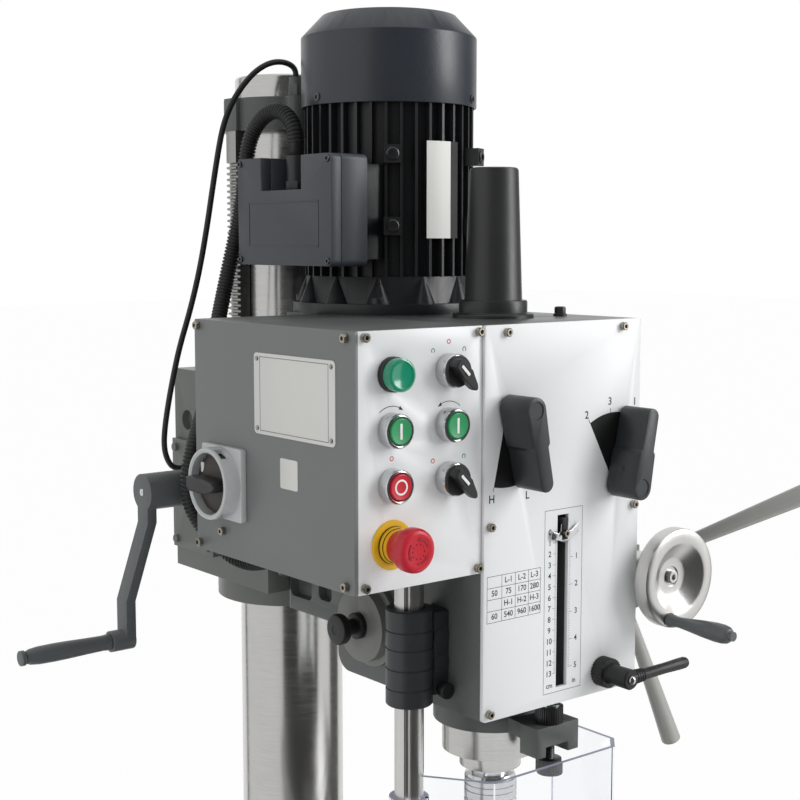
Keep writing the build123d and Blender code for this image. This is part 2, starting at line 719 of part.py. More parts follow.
def gear_outline(module, teeth):
    """Points round a stub-tooth gear, with the middle of one tooth on the X axis."""
    pitch_r = module * teeth / 2
    base_r = pitch_r * cos(PRESSURE_ANGLE)
    root_r = pitch_r - DEDENDUM * module
    tip_r = pitch_r + ADDENDUM * module
    half_at_pitch = pi / (2 * teeth) - BACKLASH / (2 * pitch_r)
    pitch_roll = tan(PRESSURE_ANGLE) - PRESSURE_ANGLE

    def half_angle(radius):
        turn = acos(min(1, base_r / radius))
        return half_at_pitch + pitch_roll - (tan(turn) - turn)

    flank = [(root_r, half_angle(max(root_r, base_r)))]
    for radius in (max(root_r, base_r) + FLANK_STEP, pitch_r, tip_r):
        flank.append((radius, half_angle(radius)))
    points = []
    for tooth in range(teeth):
        middle = 2 * pi * tooth / teeth
        for radius, half in flank:
            points.append((radius * cos(middle - half), radius * sin(middle - half)))
        for radius, half in reversed(flank):
            points.append((radius * cos(middle + half), radius * sin(middle + half)))
    return points


def rack_gap(module, centre):
    """The outline of one gap of a rack, as (depth from the pitch line, height) with depth outwards."""
    outer = ADDENDUM * module
    inner = -DEDENDUM * module
    half = pi * module / 4 + BACKLASH / 2
    wide = half + outer * tan(PRESSURE_ANGLE)
    narrow = half + inner * tan(PRESSURE_ANGLE)
    outside = [(outer, centre - wide), (outer, centre + wide)]
    return outside + [(inner, centre + narrow), (inner, centre - narrow)]


def corner_radii(route):
    """The largest even bend at each corner of a cord's route."""
    points = [Vector(p) for p in route]
    radii = []
    for before, here, after in zip(points, points[1:], points[2:]):
        turn = radians((here - before).get_angle(after - here))
        run = min((here - before).length, (after - here).length)
        radii.append(BEND_SHARE * run / tan(turn / 2))
    return radii


def handwheel(plane):
    """A spoked handwheel whose hub starts on the plane and stands along its normal, with a handle."""
    low = (Align.CENTER, Align.CENTER, Align.MIN)
    middle = WHEEL_RIM_R - WHEEL_RIM_WIDTH / 2
    with BuildSketch(Plane(plane.origin, x_dir=plane.x_dir, z_dir=-plane.y_dir)) as rim:
        with Locations((middle, WHEEL_HUB / 2)):
            Rectangle(WHEEL_RIM_WIDTH, WHEEL_RIM_THICK)
        chamfer(rim.vertices(), WHEEL_RIM_CHAMFER)
    revolve(rim.sketch, axis=Axis(plane.origin, plane.z_dir))
    with Locations(plane.location):
        Cylinder(WHEEL_HUB_R, WHEEL_HUB, align=low)
        with Locations((0, 0, WHEEL_HUB / 2)):
            with PolarLocations(0, WHEEL_SPOKES, start_angle=WHEEL_SPOKE_START):
                with Locations(Location((0, 0, 0), (0, 90, 0))):
                    Cylinder(WHEEL_SPOKE_R, middle, align=low)
        with Locations((-middle, 0, (WHEEL_HUB + WHEEL_RIM_THICK) / 2)):
            Cylinder(WHEEL_STEM_R, WHEEL_HUB, align=low)
        with Locations((-middle, 0, WHEEL_HUB)):
            Cylinder(WHEEL_HANDLE_R, WHEEL_HANDLE, align=low)


def terminal_plate(x):
    """The terminal box's outline between two X values, with the notch for the conduit in its top."""
    with BuildSketch(facing_right(x[0])) as outline:
        with Locations((sum(TERMINAL_Y) / 2, sum(TERMINAL_Z) / 2)):
            RectangleRounded(TERMINAL_Y[1] - TERMINAL_Y[0], TERMINAL_Z[1] - TERMINAL_Z[0], TERMINAL_R)
        with Locations((sum(NOTCH_Y) / 2, NOTCH_Z)):
            Rectangle(
                NOTCH_Y[1] - NOTCH_Y[0], TERMINAL_Z[1] - NOTCH_Z,
                align=(Align.CENTER, Align.MIN), mode=Mode.SUBTRACT,
            )
    extrude(outline.sketch, amount=x[1] - x[0])


def lever_place(lever):
    """Where a capstan lever starts on the feed shaft, with its own Z axis along the lever."""
    turn = Location((LEVER_X, FEED_Y, FEED_Z), (360 / LEVER_COUNT * lever, 0, 0))
    return turn * Location((0, 0, 0), (0, 180 - LEVER_CONE, 0)) * Location((0, 0, LEVER_START))


def make_base_casting():
    """The hollow base: gutter, column pad, dovetail way, screw slot and anchor posts."""
    inside_x = BASE_WIDTH / 2 - BASE_WALL
    inside_y = BASE_DEPTH / 2 - BASE_WALL
    with BuildPart() as base:
        block(both_sides(BASE_WIDTH / 2), both_sides(BASE_DEPTH / 2), (0, BASE_HEIGHT))
        fillet(base.edges().filter_by(Axis.Z), BASE_CORNER_R)
        block(
            both_sides(BASE_WIDTH / 2 - RIM_WIDTH), both_sides(BASE_DEPTH / 2 - RIM_WIDTH),
            (GUTTER_Z, BASE_HEIGHT), Mode.SUBTRACT,
        )
        block(both_sides(inside_x), both_sides(inside_y), (0, DECK_UNDER), Mode.SUBTRACT)
        rod_z(0, COLUMN_Y, (DECK_UNDER - BASE_DECK, BASE_HEIGHT), FOOT_R)
        way = [(-WAY_ROOT, GUTTER_Z), (WAY_ROOT, GUTTER_Z), (WAY_CREST, WAY_TOP), (-WAY_CREST, WAY_TOP)]
        prism(facing_back(WAY_FRONT), way, WAY_BACK - WAY_FRONT)
        block(
            both_sides(Y_SLOT_HALF), (WAY_FRONT, Y_SLOT_BACK),
            (DECK_UNDER, WAY_TOP), Mode.SUBTRACT,
        )
        block(both_sides(Y_SLOT_HALF), (Y_SLOT_BACK, Y_BEARING_BACK), (Y_SCREW_Z - 2 * SCREW_R, DECK_UNDER))
        with GridLocations(ANCHOR_SPACING_X, ANCHOR_SPACING_Y, 2, 2):
            Cylinder(ANCHOR_POST_R, DECK_UNDER, align=(Align.CENTER, Align.CENTER, Align.MIN))
            Cylinder(
                ANCHOR_HOLE_R, BASE_HEIGHT,
                align=(Align.CENTER, Align.CENTER, Align.MIN), mode=Mode.SUBTRACT,
            )
        rod_y(0, (-BASE_DEPTH / 2, Y_BEARING_BACK), Y_SCREW_Z, SCREW_R + RUN_FIT, Mode.SUBTRACT)
        with Locations((0, COLUMN_Y, BASE_HEIGHT)):
            with PolarLocations(FOOT_BOLT_RADIUS, FOOT_BOLTS, start_angle=FOOT_BOLT_START):
                Cylinder(
                    FOOT_BOLT_R + FOOT_BOLT_SLACK, FOOT_BOLT_DEPTH + FOOT_BOLT_SLACK,
                    align=(Align.CENTER, Align.CENTER, Align.MAX), mode=Mode.SUBTRACT,
                )
    save(base.part, "base_casting")


def make_column():
    """The flanged foot with its bolts, and the tube that stands in it."""
    top = BASE_HEIGHT + FOOT_THICK
    with BuildPart() as foot:
        rod_z(0, COLUMN_Y, (BASE_HEIGHT, top), FOOT_R)
        rod_z(0, COLUMN_Y, (BASE_HEIGHT, BASE_HEIGHT + FOOT_HEIGHT), FOOT_BOSS_R)
        rod_z(0, COLUMN_Y, (BASE_HEIGHT, BASE_HEIGHT + FOOT_HEIGHT), COLUMN_R + RUN_FIT, Mode.SUBTRACT)
        with Locations((0, COLUMN_Y, BASE_HEIGHT)):
            with PolarLocations(FOOT_BOLT_RADIUS, FOOT_BOLTS, start_angle=FOOT_BOLT_START):
                Cylinder(
                    FOOT_BOLT_R + FOOT_BOLT_SLACK, FOOT_THICK,
                    align=(Align.CENTER, Align.CENTER, Align.MIN), mode=Mode.SUBTRACT,
                )
    save(foot.part, "column_foot")

    with BuildPart() as bolts:
        with BuildSketch(Plane((0, COLUMN_Y, top))):
            with PolarLocations(FOOT_BOLT_RADIUS, FOOT_BOLTS, start_angle=FOOT_BOLT_START):
                RegularPolygon(FOOT_BOLT_HEAD_R, 6)
        extrude(amount=FOOT_BOLT_HEAD)
        with BuildSketch(Plane((0, COLUMN_Y, top))):
            with PolarLocations(FOOT_BOLT_RADIUS, FOOT_BOLTS, start_angle=FOOT_BOLT_START):
                Circle(FOOT_BOLT_R)
        extrude(amount=-FOOT_THICK - FOOT_BOLT_DEPTH)
    save(bolts.part, "foot_bolts")

    with BuildPart() as tube:
        rod_z(0, COLUMN_Y, (BASE_HEIGHT, HEAD_Z + COLUMN_TOP), COLUMN_R)
        rod_z(0, COLUMN_Y, (BASE_HEIGHT, HEAD_Z + COLUMN_TOP), COLUMN_BORE_R, Mode.SUBTRACT)
        chamfer(tube.edges().group_by(Axis.Z)[-1], COLUMN_CHAMFER)
    save(tube.part, "column_tube")


def make_saddle():
    """The saddle: a groove on the base's way, the cross way on top, and the nut in the slot."""
    rise = WAY_TOP + SLIDE_GAP - SADDLE_BOTTOM
    low = way_half(WAY_ROOT, WAY_CREST, WAY_RISE, SADDLE_BOTTOM - GUTTER_Z) + SLIDE_GAP
    high = WAY_CREST + SLIDE_GAP
    ends = (SPINDLE_Y - SADDLE_LENGTH / 2, SPINDLE_Y + SADDLE_LENGTH / 2)
    with BuildPart() as saddle:
        block(both_sides(SADDLE_WIDTH / 2), ends, (SADDLE_BOTTOM, SADDLE_TOP))
        fillet(saddle.edges().filter_by(Axis.Z), SADDLE_CORNER_R)
        groove = [
            (-low, SADDLE_BOTTOM), (low, SADDLE_BOTTOM),
            (high, SADDLE_BOTTOM + rise), (-high, SADDLE_BOTTOM + rise),
        ]
        prism(facing_back(ends[0]), groove, SADDLE_LENGTH, Mode.SUBTRACT)
        cross = [
            (SPINDLE_Y - CROSS_ROOT, SADDLE_TOP), (SPINDLE_Y + CROSS_ROOT, SADDLE_TOP),
            (SPINDLE_Y + CROSS_CREST, SADDLE_TOP + CROSS_RISE),
            (SPINDLE_Y - CROSS_CREST, SADDLE_TOP + CROSS_RISE),
        ]
        prism(facing_right(-SADDLE_WIDTH / 2), cross, SADDLE_WIDTH)
        block(
            both_sides(NUT_HALF_WIDTH), (SPINDLE_Y - NUT_HALF_LENGTH, SPINDLE_Y + NUT_HALF_LENGTH),
            (Y_SCREW_Z - NUT_DROP, SADDLE_BOTTOM + rise),
        )
        rod_y(0, ends, Y_SCREW_Z, SCREW_R + RUN_FIT, Mode.SUBTRACT)
        rod_x(both_sides(SADDLE_WIDTH / 2), SPINDLE_Y, X_SCREW_Z, SCREW_R + RUN_FIT, Mode.SUBTRACT)
    save(saddle.part, "saddle")


def make_table():
    """The slotted table with its dovetail groove, and the screw brackets just off its two ends."""
    rise = SADDLE_TOP + CROSS_RISE + SLIDE_GAP - TABLE_UNDER
    low = way_half(CROSS_ROOT, CROSS_CREST, CROSS_RISE, TABLE_UNDER - SADDLE_TOP) + SLIDE_GAP
    high = CROSS_CREST + SLIDE_GAP
    ends = both_sides(TABLE_LENGTH / 2)
    neck_z = (TABLE_TOP - SLOT_DEPTH, TABLE_TOP)
    foot_z = (neck_z[0] - SLOT_FOOT_DEPTH, neck_z[0])
    with BuildPart() as table:
        block(ends, (SPINDLE_Y - TABLE_WIDTH / 2, SPINDLE_Y + TABLE_WIDTH / 2), (TABLE_UNDER, TABLE_TOP))
        groove = [
            (SPINDLE_Y - low, TABLE_UNDER), (SPINDLE_Y + low, TABLE_UNDER),
            (SPINDLE_Y + high, TABLE_UNDER + rise), (SPINDLE_Y - high, TABLE_UNDER + rise),
        ]
        prism(facing_right(ends[0]), groove, TABLE_LENGTH, Mode.SUBTRACT)
        for slot in range(SLOT_COUNT):
            y = SPINDLE_Y + (slot - (SLOT_COUNT - 1) / 2) * SLOT_PITCH
            block(ends, (y - SLOT_WIDTH / 2, y + SLOT_WIDTH / 2), neck_z, Mode.SUBTRACT)
            block(ends, (y - SLOT_FOOT_WIDTH / 2, y + SLOT_FOOT_WIDTH / 2), foot_z, Mode.SUBTRACT)
        bracket_y = (SPINDLE_Y - BRACKET_HALF, SPINDLE_Y + BRACKET_HALF)
        bracket_z = (TABLE_UNDER - BRACKET_DROP, foot_z[0])
        near = TABLE_LENGTH / 2 + RUN_FIT
        far = near + BRACKET_THICK
        for bracket_x in ((-far, -near), (near, far)):
            block(bracket_x, bracket_y, bracket_z)
            rod_x(bracket_x, SPINDLE_Y, X_SCREW_Z, SCREW_R + RUN_FIT, Mode.SUBTRACT)
    save(table.part, "work_table")


def make_feed_screws():
    """The two feed screws, with a handwheel on each end of the table's and on the front of the base's."""
    wheel_x = TABLE_LENGTH / 2 + BRACKET_THICK + WHEEL_GAP
    with BuildPart() as table_screw:
        rod_x(both_sides(wheel_x + WHEEL_HUB), SPINDLE_Y, X_SCREW_Z, SCREW_R)
        for side in (-1, 1):
            handwheel(Plane((side * wheel_x, SPINDLE_Y, X_SCREW_Z), x_dir=(0, 0, 1), z_dir=(side, 0, 0)))
    save(table_screw.part, "x_feed_screw")

    wheel_y = -BASE_DEPTH / 2 - WHEEL_GAP
    with BuildPart() as base_screw:
        rod_y(0, (wheel_y - WHEEL_HUB, Y_BEARING_BACK), Y_SCREW_Z, SCREW_R)
        handwheel(Plane((0, wheel_y, Y_SCREW_Z), x_dir=(0, 0, 1), z_dir=(0, -1, 0)))
    save(base_screw.part, "y_feed_screw")


def make_mast():
    """The lift rack beside the column, and the collar over it with its cable gland."""
    first = int((RACK_BOTTOM - LIFT_AXIS_Z) / LIFT_PITCH) + 1
    last = int((COLLAR_BOTTOM - RACK_PLAIN_TOP - LIFT_AXIS_Z) / LIFT_PITCH)
    pitch_line = LIFT_AXIS_X + LIFT_PITCH_R
    side = PANEL_TO_COLUMN - RACK_HALF
    with BuildPart() as rack:
        block((-RACK_TIP, -RACK_BACK), (side, side + 2 * RACK_HALF), (RACK_BOTTOM, COLLAR_BOTTOM))
        with BuildSketch(Plane((pitch_line, side, 0), x_dir=(-1, 0, 0), z_dir=(0, 1, 0))):
            for gap in range(first, last):
                with BuildLine():
                    Polyline(*rack_gap(LIFT_MODULE, LIFT_AXIS_Z + gap * LIFT_PITCH), close=True)
                make_face()
        extrude(amount=2 * RACK_HALF, mode=Mode.SUBTRACT)
    save(rack.part, "column_rack", HEAD)

    height = (COLLAR_BOTTOM, COLLAR_TOP)
    gland_z = COLLAR_TOP + RUN_FIT
    with BuildPart() as collar:
        rod_z(0, PANEL_TO_COLUMN, height, COLLAR_R)
        block((-RACK_LUG_OUT, 0), around(PANEL_TO_COLUMN, RACK_LUG_HALF), height)
        rod_z(COLLAR_GLAND_X, COLLAR_GLAND_Y, height, GLAND_PAD_R)
        rod_z(0, PANEL_TO_COLUMN, height, COLUMN_R + COLLAR_GAP, Mode.SUBTRACT)
        with BuildSketch(Plane((COLLAR_GLAND_X, COLLAR_GLAND_Y, gland_z))):
            RegularPolygon(GLAND_NUT_R, 6)
        extrude(amount=GLAND_NUT)
        rod_z(COLLAR_GLAND_X, COLLAR_GLAND_Y, (gland_z, COLLAR_TOP + GLAND_HEIGHT), GLAND_R)
    save(collar.part, "top_collar", HEAD)


def make_bracket():
    """The casting that grips the column and carries the lift drive, and the plate that covers it."""
    rack_y = PANEL_TO_COLUMN - RACK_HALF - RACK_SLOT_GAP
    lug_y = (PANEL_TO_COLUMN, PANEL_TO_COLUMN + CLAMP_LUG_OUT)
    height = (BOSS_BOTTOM, BOSS_TOP)
    with BuildPart() as bracket:
        rod_z(0, PANEL_TO_COLUMN, height, BOSS_R)
        block(both_sides(ARM_HALF), (GEARBOX_BACK, PANEL_TO_COLUMN), (ARM_BOTTOM, BOSS_TOP))
        block((HOUSING_LEFT, -RACK_BACK), (HOUSING_FRONT, HOUSING_BACK), (HOUSING_BOTTOM, HOUSING_TOP))
        block(
            (HOUSING_LEFT, -GEARBOX_HALF), (HOUSING_FRONT, HOUSING_STEP_BACK),
            (HOUSING_BOTTOM, HOUSING_STEP_TOP), Mode.SUBTRACT,
        )
        block(
            (-GEARBOX_HALF - PANEL_SEAM, -RACK_BACK), (HOUSING_FRONT, GEARBOX_BACK),
            (HOUSING_BOTTOM, HOUSING_TOP), Mode.SUBTRACT,
        )
        block(
            (HOUSING_LEFT, LIFT_NOTCH_X[1] - PANEL_SEAM), (LIFT_NOTCH_Y[0] + PANEL_SEAM, GEARBOX_BACK),
            (LIFT_NOTCH_Z[0] + PANEL_SEAM, LIFT_NOTCH_Z[1] - PANEL_SEAM),
        )
        block(both_sides(CLAMP_LUG_HALF), lug_y, CLAMP_LUG_Z)
        rod_z(0, PANEL_TO_COLUMN, height, COLUMN_R + RUN_FIT, Mode.SUBTRACT)
        block(
            (-RACK_TIP - RACK_SLOT_GAP, 0), (rack_y, rack_y + 2 * (RACK_HALF + RACK_SLOT_GAP)),
            height, Mode.SUBTRACT,
        )
        block(both_sides(CLAMP_SLIT / 2), lug_y, height, Mode.SUBTRACT)
        rod_y(
            LIFT_AXIS_X, around(PANEL_TO_COLUMN, LIFT_PINION_HALF + PIECE_GAP),
            LIFT_AXIS_Z, LIFT_PITCH_R + LIFT_MODULE, Mode.SUBTRACT,
        )
        rod_y(
            LIFT_AXIS_X, around(CRANK_Y, LIFT_WHEEL_HALF + PIECE_GAP),
            LIFT_AXIS_Z, LIFT_WHEEL_R + LIFT_ROOM, Mode.SUBTRACT,
        )
        rod_y(
            LIFT_AXIS_X, (CRANK_Y, HOUSING_BACK - LIFT_WALL),
            LIFT_AXIS_Z, LIFT_SHAFT_R + RUN_FIT, Mode.SUBTRACT,
        )
        rod_x((HOUSING_LEFT, WORM_END + PIECE_GAP), CRANK_Y, CRANK_Z, WORM_R + RUN_FIT, Mode.SUBTRACT)
        rod_x((HOUSING_LEFT, HOUSING_LEFT + SIGHT_HOLE_DEPTH), *SIGHT_HOLE, SIGHT_HOLE_R, Mode.SUBTRACT)
        for z in CLAMP_BOLT_Z:
            rod_x(both_sides(CLAMP_LUG_HALF), CLAMP_BOLT_Y, z, CLAMP_BOLT_R + RUN_FIT, Mode.SUBTRACT)
    save(bracket.part, "column_bracket", HEAD)

    plate_x = (HOUSING_LEFT - COVER_THICK, HOUSING_LEFT)
    clip_x, clip_y, clip_z = CABLE_ROUTE[-1]
    with BuildPart() as cover:
        block(plate_x, (HOUSING_FRONT, COVER_BACK), (COVER_BOTTOM, COVER_TOP))
        block(plate_x, (HOUSING_FRONT, COVER_STEP_BACK), (COVER_BOTTOM, HOUSING_STEP_TOP), Mode.SUBTRACT)
        rod_x(plate_x, CRANK_Y, CRANK_Z, WORM_R + RUN_FIT, Mode.SUBTRACT)
        corners = (
            (COVER_STEP_BACK, COVER_BOTTOM + COVER_SCREW_INSET), (HOUSING_STEP_BACK, COVER_TOP - COVER_SCREW_INSET),
        )
        for front, z in corners:
            for y in (front + COVER_SCREW_INSET, COVER_BACK - COVER_SCREW_INSET):
                rod_x((plate_x[0] - COVER_SCREW_HEAD, plate_x[0]), y, z, COVER_SCREW_R)
        rod_x((clip_x, plate_x[0]), clip_y, clip_z, CABLE_CLIP_R)
    save(cover.part, "lift_cover", HEAD)


def make_lift_drive():
    """The pinion shaft with its worm wheel, the crank with its worm shaft, and the turning grip."""
    with BuildPart() as pinion:
        rod_y(
            LIFT_AXIS_X, (CRANK_Y - LIFT_WHEEL_HALF, HOUSING_BACK - LIFT_WALL - PIECE_GAP),
            LIFT_AXIS_Z, LIFT_SHAFT_R,
        )
        rod_y(LIFT_AXIS_X, around(CRANK_Y, LIFT_WHEEL_HALF), LIFT_AXIS_Z, LIFT_WHEEL_R)
        back_end = (LIFT_AXIS_X, PANEL_TO_COLUMN + LIFT_PINION_HALF, LIFT_AXIS_Z)
        back = Plane(back_end, x_dir=(1, 0, 0), z_dir=(0, -1, 0))
        prism(back, gear_outline(LIFT_MODULE, LIFT_TEETH), 2 * LIFT_PINION_HALF)
    save(pinion.part, "lift_pinion", HEAD)

    half = CRANK_THICK / 2
    middle = [
        (CRANK_MID, 0), (CRANK_MID, CRANK_BEND_START),
        (CRANK_END_X, CRANK_BEND_END), (CRANK_END_X, CRANK_RADIUS),
    ]
    outline = [(x + half, r) for x, r in middle] + [(x - half, r) for x, r in reversed(middle)]
    across = Vector(1, 0, 0).cross(CRANK_DOWN)
    side = Vector(0, CRANK_Y, CRANK_Z) - across * (CRANK_WIDTH / 2)
    boss_x = (CRANK_END_X + half - CRANK_BOSS, CRANK_END_X + half)
    grip_x = (boss_x[0] - GRIP_END_GAP - CRANK_GRIP, boss_x[0] - GRIP_END_GAP)
    pin_end = grip_x[0] - GRIP_END_GAP
    with BuildPart() as crank:
        rod_x((CRANK_FACE, CRANK_HUB_ROOT), CRANK_Y, CRANK_Z, CRANK_HUB_R)
        rod_x((CRANK_FACE, WORM_END), CRANK_Y, CRANK_Z, WORM_R)
        prism(Plane(side, x_dir=(1, 0, 0), z_dir=across), outline, CRANK_WIDTH)
        rod_x(boss_x, CRANK_END.Y, CRANK_END.Z, CRANK_BOSS_R)
        rod_x((pin_end, boss_x[0]), CRANK_END.Y, CRANK_END.Z, GRIP_PIN_R)
        rod_x((pin_end - GRIP_CAP, pin_end), CRANK_END.Y, CRANK_END.Z, GRIP_CAP_R)
    save(crank.part, "lift_crank", HEAD)

    with BuildPart() as grip:
        rod_x(grip_x, CRANK_END.Y, CRANK_END.Z, CRANK_GRIP_R)
        fillet(grip.edges().filter_by(GeomType.CIRCLE), CRANK_GRIP_EDGE_R)
        rod_x(grip_x, CRANK_END.Y, CRANK_END.Z, GRIP_PIN_R + RUN_FIT, Mode.SUBTRACT)
    save(grip.part, "crank_grip", HEAD)


def make_gearbox():
    """The gearbox casting with its chambers, bores and pockets, and the panel on its front."""
    inside_y = (PANEL_THICK + GEARBOX_WALL, GEARBOX_BACK - GEARBOX_REAR_WALL)
    pinion_end = -FEED_PINION_HALF - PIECE_GAP
    with BuildPart() as gearbox:
        block(both_sides(GEARBOX_HALF), (PANEL_THICK, GEARBOX_BACK), (REAR_BOTTOM, HEAD_HEIGHT))
        fillet(gearbox.edges().filter_by(Axis.Z).group_by(Axis.Y)[-1], GEARBOX_EDGE_R)
        block(both_sides(GEARBOX_HALF), (PANEL_THICK, NOSE_BACK), (0, REAR_BOTTOM))
        fillet(gearbox.edges().filter_by(Axis.X).group_by(Axis.Z)[0].sort_by(Axis.Y)[-1], NOSE_EDGE_R)
        rod_z(0, PANEL_TO_MOTOR, (HEAD_HEIGHT - MOTOR_PAD_THICK, HEAD_HEIGHT), MOTOR_PAD_R)
        block(both_sides(CAVITY_HALF), inside_y, (CHAMBER_FLOOR, CHAMBER_TOP), Mode.SUBTRACT)
        block(
            both_sides(CAVITY_HALF), (REAR_CHAMBER_FRONT, inside_y[1]),
            (REAR_BOTTOM + GEARBOX_WALL, REAR_CHAMBER_TOP), Mode.SUBTRACT,
        )
        block(LIFT_NOTCH_X, LIFT_NOTCH_Y, LIFT_NOTCH_Z, Mode.SUBTRACT)
        rod_z(0, PANEL_TO_SPINDLE, (0, CHAMBER_FLOOR), QUILL_R + RUN_FIT, Mode.SUBTRACT)
        rod_z(0, PANEL_TO_SPINDLE, (CHAMBER_TOP, HEAD_HEIGHT), SPINDLE_R, Mode.SUBTRACT)
        rod_z(0, PANEL_TO_MOTOR, (CHAMBER_TOP, HEAD_HEIGHT), MOTOR_SHAFT_R + SHAFT_HOLE_GAP, Mode.SUBTRACT)
        rod_x((-GEARBOX_HALF, pinion_end), FEED_Y, FEED_Z, FEED_SHAFT_R + RUN_FIT, Mode.SUBTRACT)
        rod_x((pinion_end, GEARBOX_HALF), FEED_Y, FEED_Z, FEED_JOURNAL_R + RUN_FIT, Mode.SUBTRACT)
        block(
            around(DEPTH_ROD[0], DEPTH_CHANNEL_HALF), (PANEL_THICK, DEPTH_CHANNEL_BACK),
            (0, DEPTH_CHANNEL_TOP), Mode.SUBTRACT,
        )
        for x, z in (RANGE_PIVOT, SPEED_PIVOT):
            rod_y(x, (PANEL_THICK, inside_y[0]), z, LEVER_STUD_R + RUN_FIT, Mode.SUBTRACT)
        rod_y(
            LOCK_PIVOT[0], (PANEL_THICK, LOCK_STUD + PIECE_GAP), LOCK_PIVOT[1],
            LEVER_STUD_R + RUN_FIT, Mode.SUBTRACT,
        )
        with BuildSketch(facing_right(-GEARBOX_HALF)):
            for y, z in POCKETS:
                with Locations((sum(y) / 2, sum(z) / 2)):
                    RectangleRounded(y[1] - y[0], z[1] - z[0], POCKET_R)
        extrude(amount=POCKET_DEPTH, mode=Mode.SUBTRACT)
    save(gearbox.part, "gearbox_casting", HEAD)

    with BuildPart() as panel:
        block(both_sides(PANEL_HALF), (0, PANEL_THICK), (0, HEAD_HEIGHT))
        fillet(panel.edges().filter_by(Axis.Y), PANEL_CORNER_R)
        block(SCALE_SLOT_X, (0, PANEL_THICK), SCALE_SLOT_Z, Mode.SUBTRACT)
        for x, z in (RANGE_PIVOT, SPEED_PIVOT, LOCK_PIVOT):
            rod_y(x, (0, PANEL_THICK), z, LEVER_STUD_R + PIECE_GAP, Mode.SUBTRACT)
    save(panel.part, "gearbox_front_panel", HEAD)


def make_electrical_box():
    """The sheet box on the head's left, its side cover, and the panel that holds the controls."""
    height = (BOX_BOTTOM, HEAD_HEIGHT)
    with BuildPart() as box:
        block((BOX_LEFT, -GEARBOX_HALF), (CONTROL_BACK, BOX_BACK), height)
        block((BOX_LEFT, -GEARBOX_HALF), (BOX_STEP_FRONT, BOX_BACK), (BOX_BOTTOM, BOX_STEP), Mode.SUBTRACT)
        for back, floor in ((BOX_STEP_FRONT, BOX_BOTTOM), (BOX_BACK, BOX_STEP)):
            block(
                (BOX_LEFT, -GEARBOX_HALF - BOX_SHEET), (CONTROL_BACK, back - BOX_SHEET),
                (floor + BOX_SHEET, HEAD_HEIGHT - BOX_SHEET), Mode.SUBTRACT,
            )
    save(box.part, "electrical_box", HEAD)

    with BuildPart() as cover:
        block((COVER_FACE, BOX_LEFT), (CONTROL_FACE, BOX_BACK), height)
        fillet(cover.edges().filter_by(Axis.X), COVER_CORNER_R)
    save(cover.part, "box_side_cover", HEAD)

    with BuildPart() as panel:
        block((BOX_LEFT, -PANEL_HALF - PANEL_SEAM), (CONTROL_FACE, CONTROL_BACK), height)
        for x, z in DEVICES + (ESTOP_PLACE,):
            rod_y(x, (CONTROL_FACE, CONTROL_BACK), z, BUTTON_R + BUTTON_GAP, Mode.SUBTRACT)
    save(panel.part, "control_panel", HEAD)


def make_fasteners():
    """Socket screws on the panels and the bolts that close the bracket on the column."""
    fronts = [(x, z, 0) for x, z in PANEL_TOP_SCREWS]
    fronts += [(x, z, 0) for x in both_sides(GEARBOX_HALF - SIDE_SCREW_INSET) for z in SIDE_SCREW_Z]
    fronts += [(BOX_LEFT + x, z, CONTROL_FACE) for x in CONTROL_SCREW_COLUMNS for z in CONTROL_SCREW_Z]
    with BuildPart() as screws:
        for x, z, face in fronts:
            rod_y(x, (face - SCREW_HEAD, face), z, SCREW_HEAD_R)
            rod_y(x, (face - SCREW_HEAD, face - SCREW_HEAD + SOCKET_DEPTH), z, SOCKET_R, Mode.SUBTRACT)
        for y, z in COVER_SCREWS:
            rod_x((COVER_FACE - SCREW_HEAD, COVER_FACE), y, z, SCREW_HEAD_R)
            socket = (COVER_FACE - SCREW_HEAD, COVER_FACE - SCREW_HEAD + SOCKET_DEPTH)
            rod_x(socket, y, z, SOCKET_R, Mode.SUBTRACT)
        for z in CLAMP_BOLT_Z:
            rod_x((-CLAMP_LUG_HALF, CLAMP_LUG_HALF), CLAMP_BOLT_Y, z, CLAMP_BOLT_R)
            rod_x((CLAMP_LUG_HALF, CLAMP_LUG_HALF + CLAMP_BOLT_HEAD), CLAMP_BOLT_Y, z, CLAMP_BOLT_HEAD_R)
    save(screws.part, "head_fasteners", HEAD)


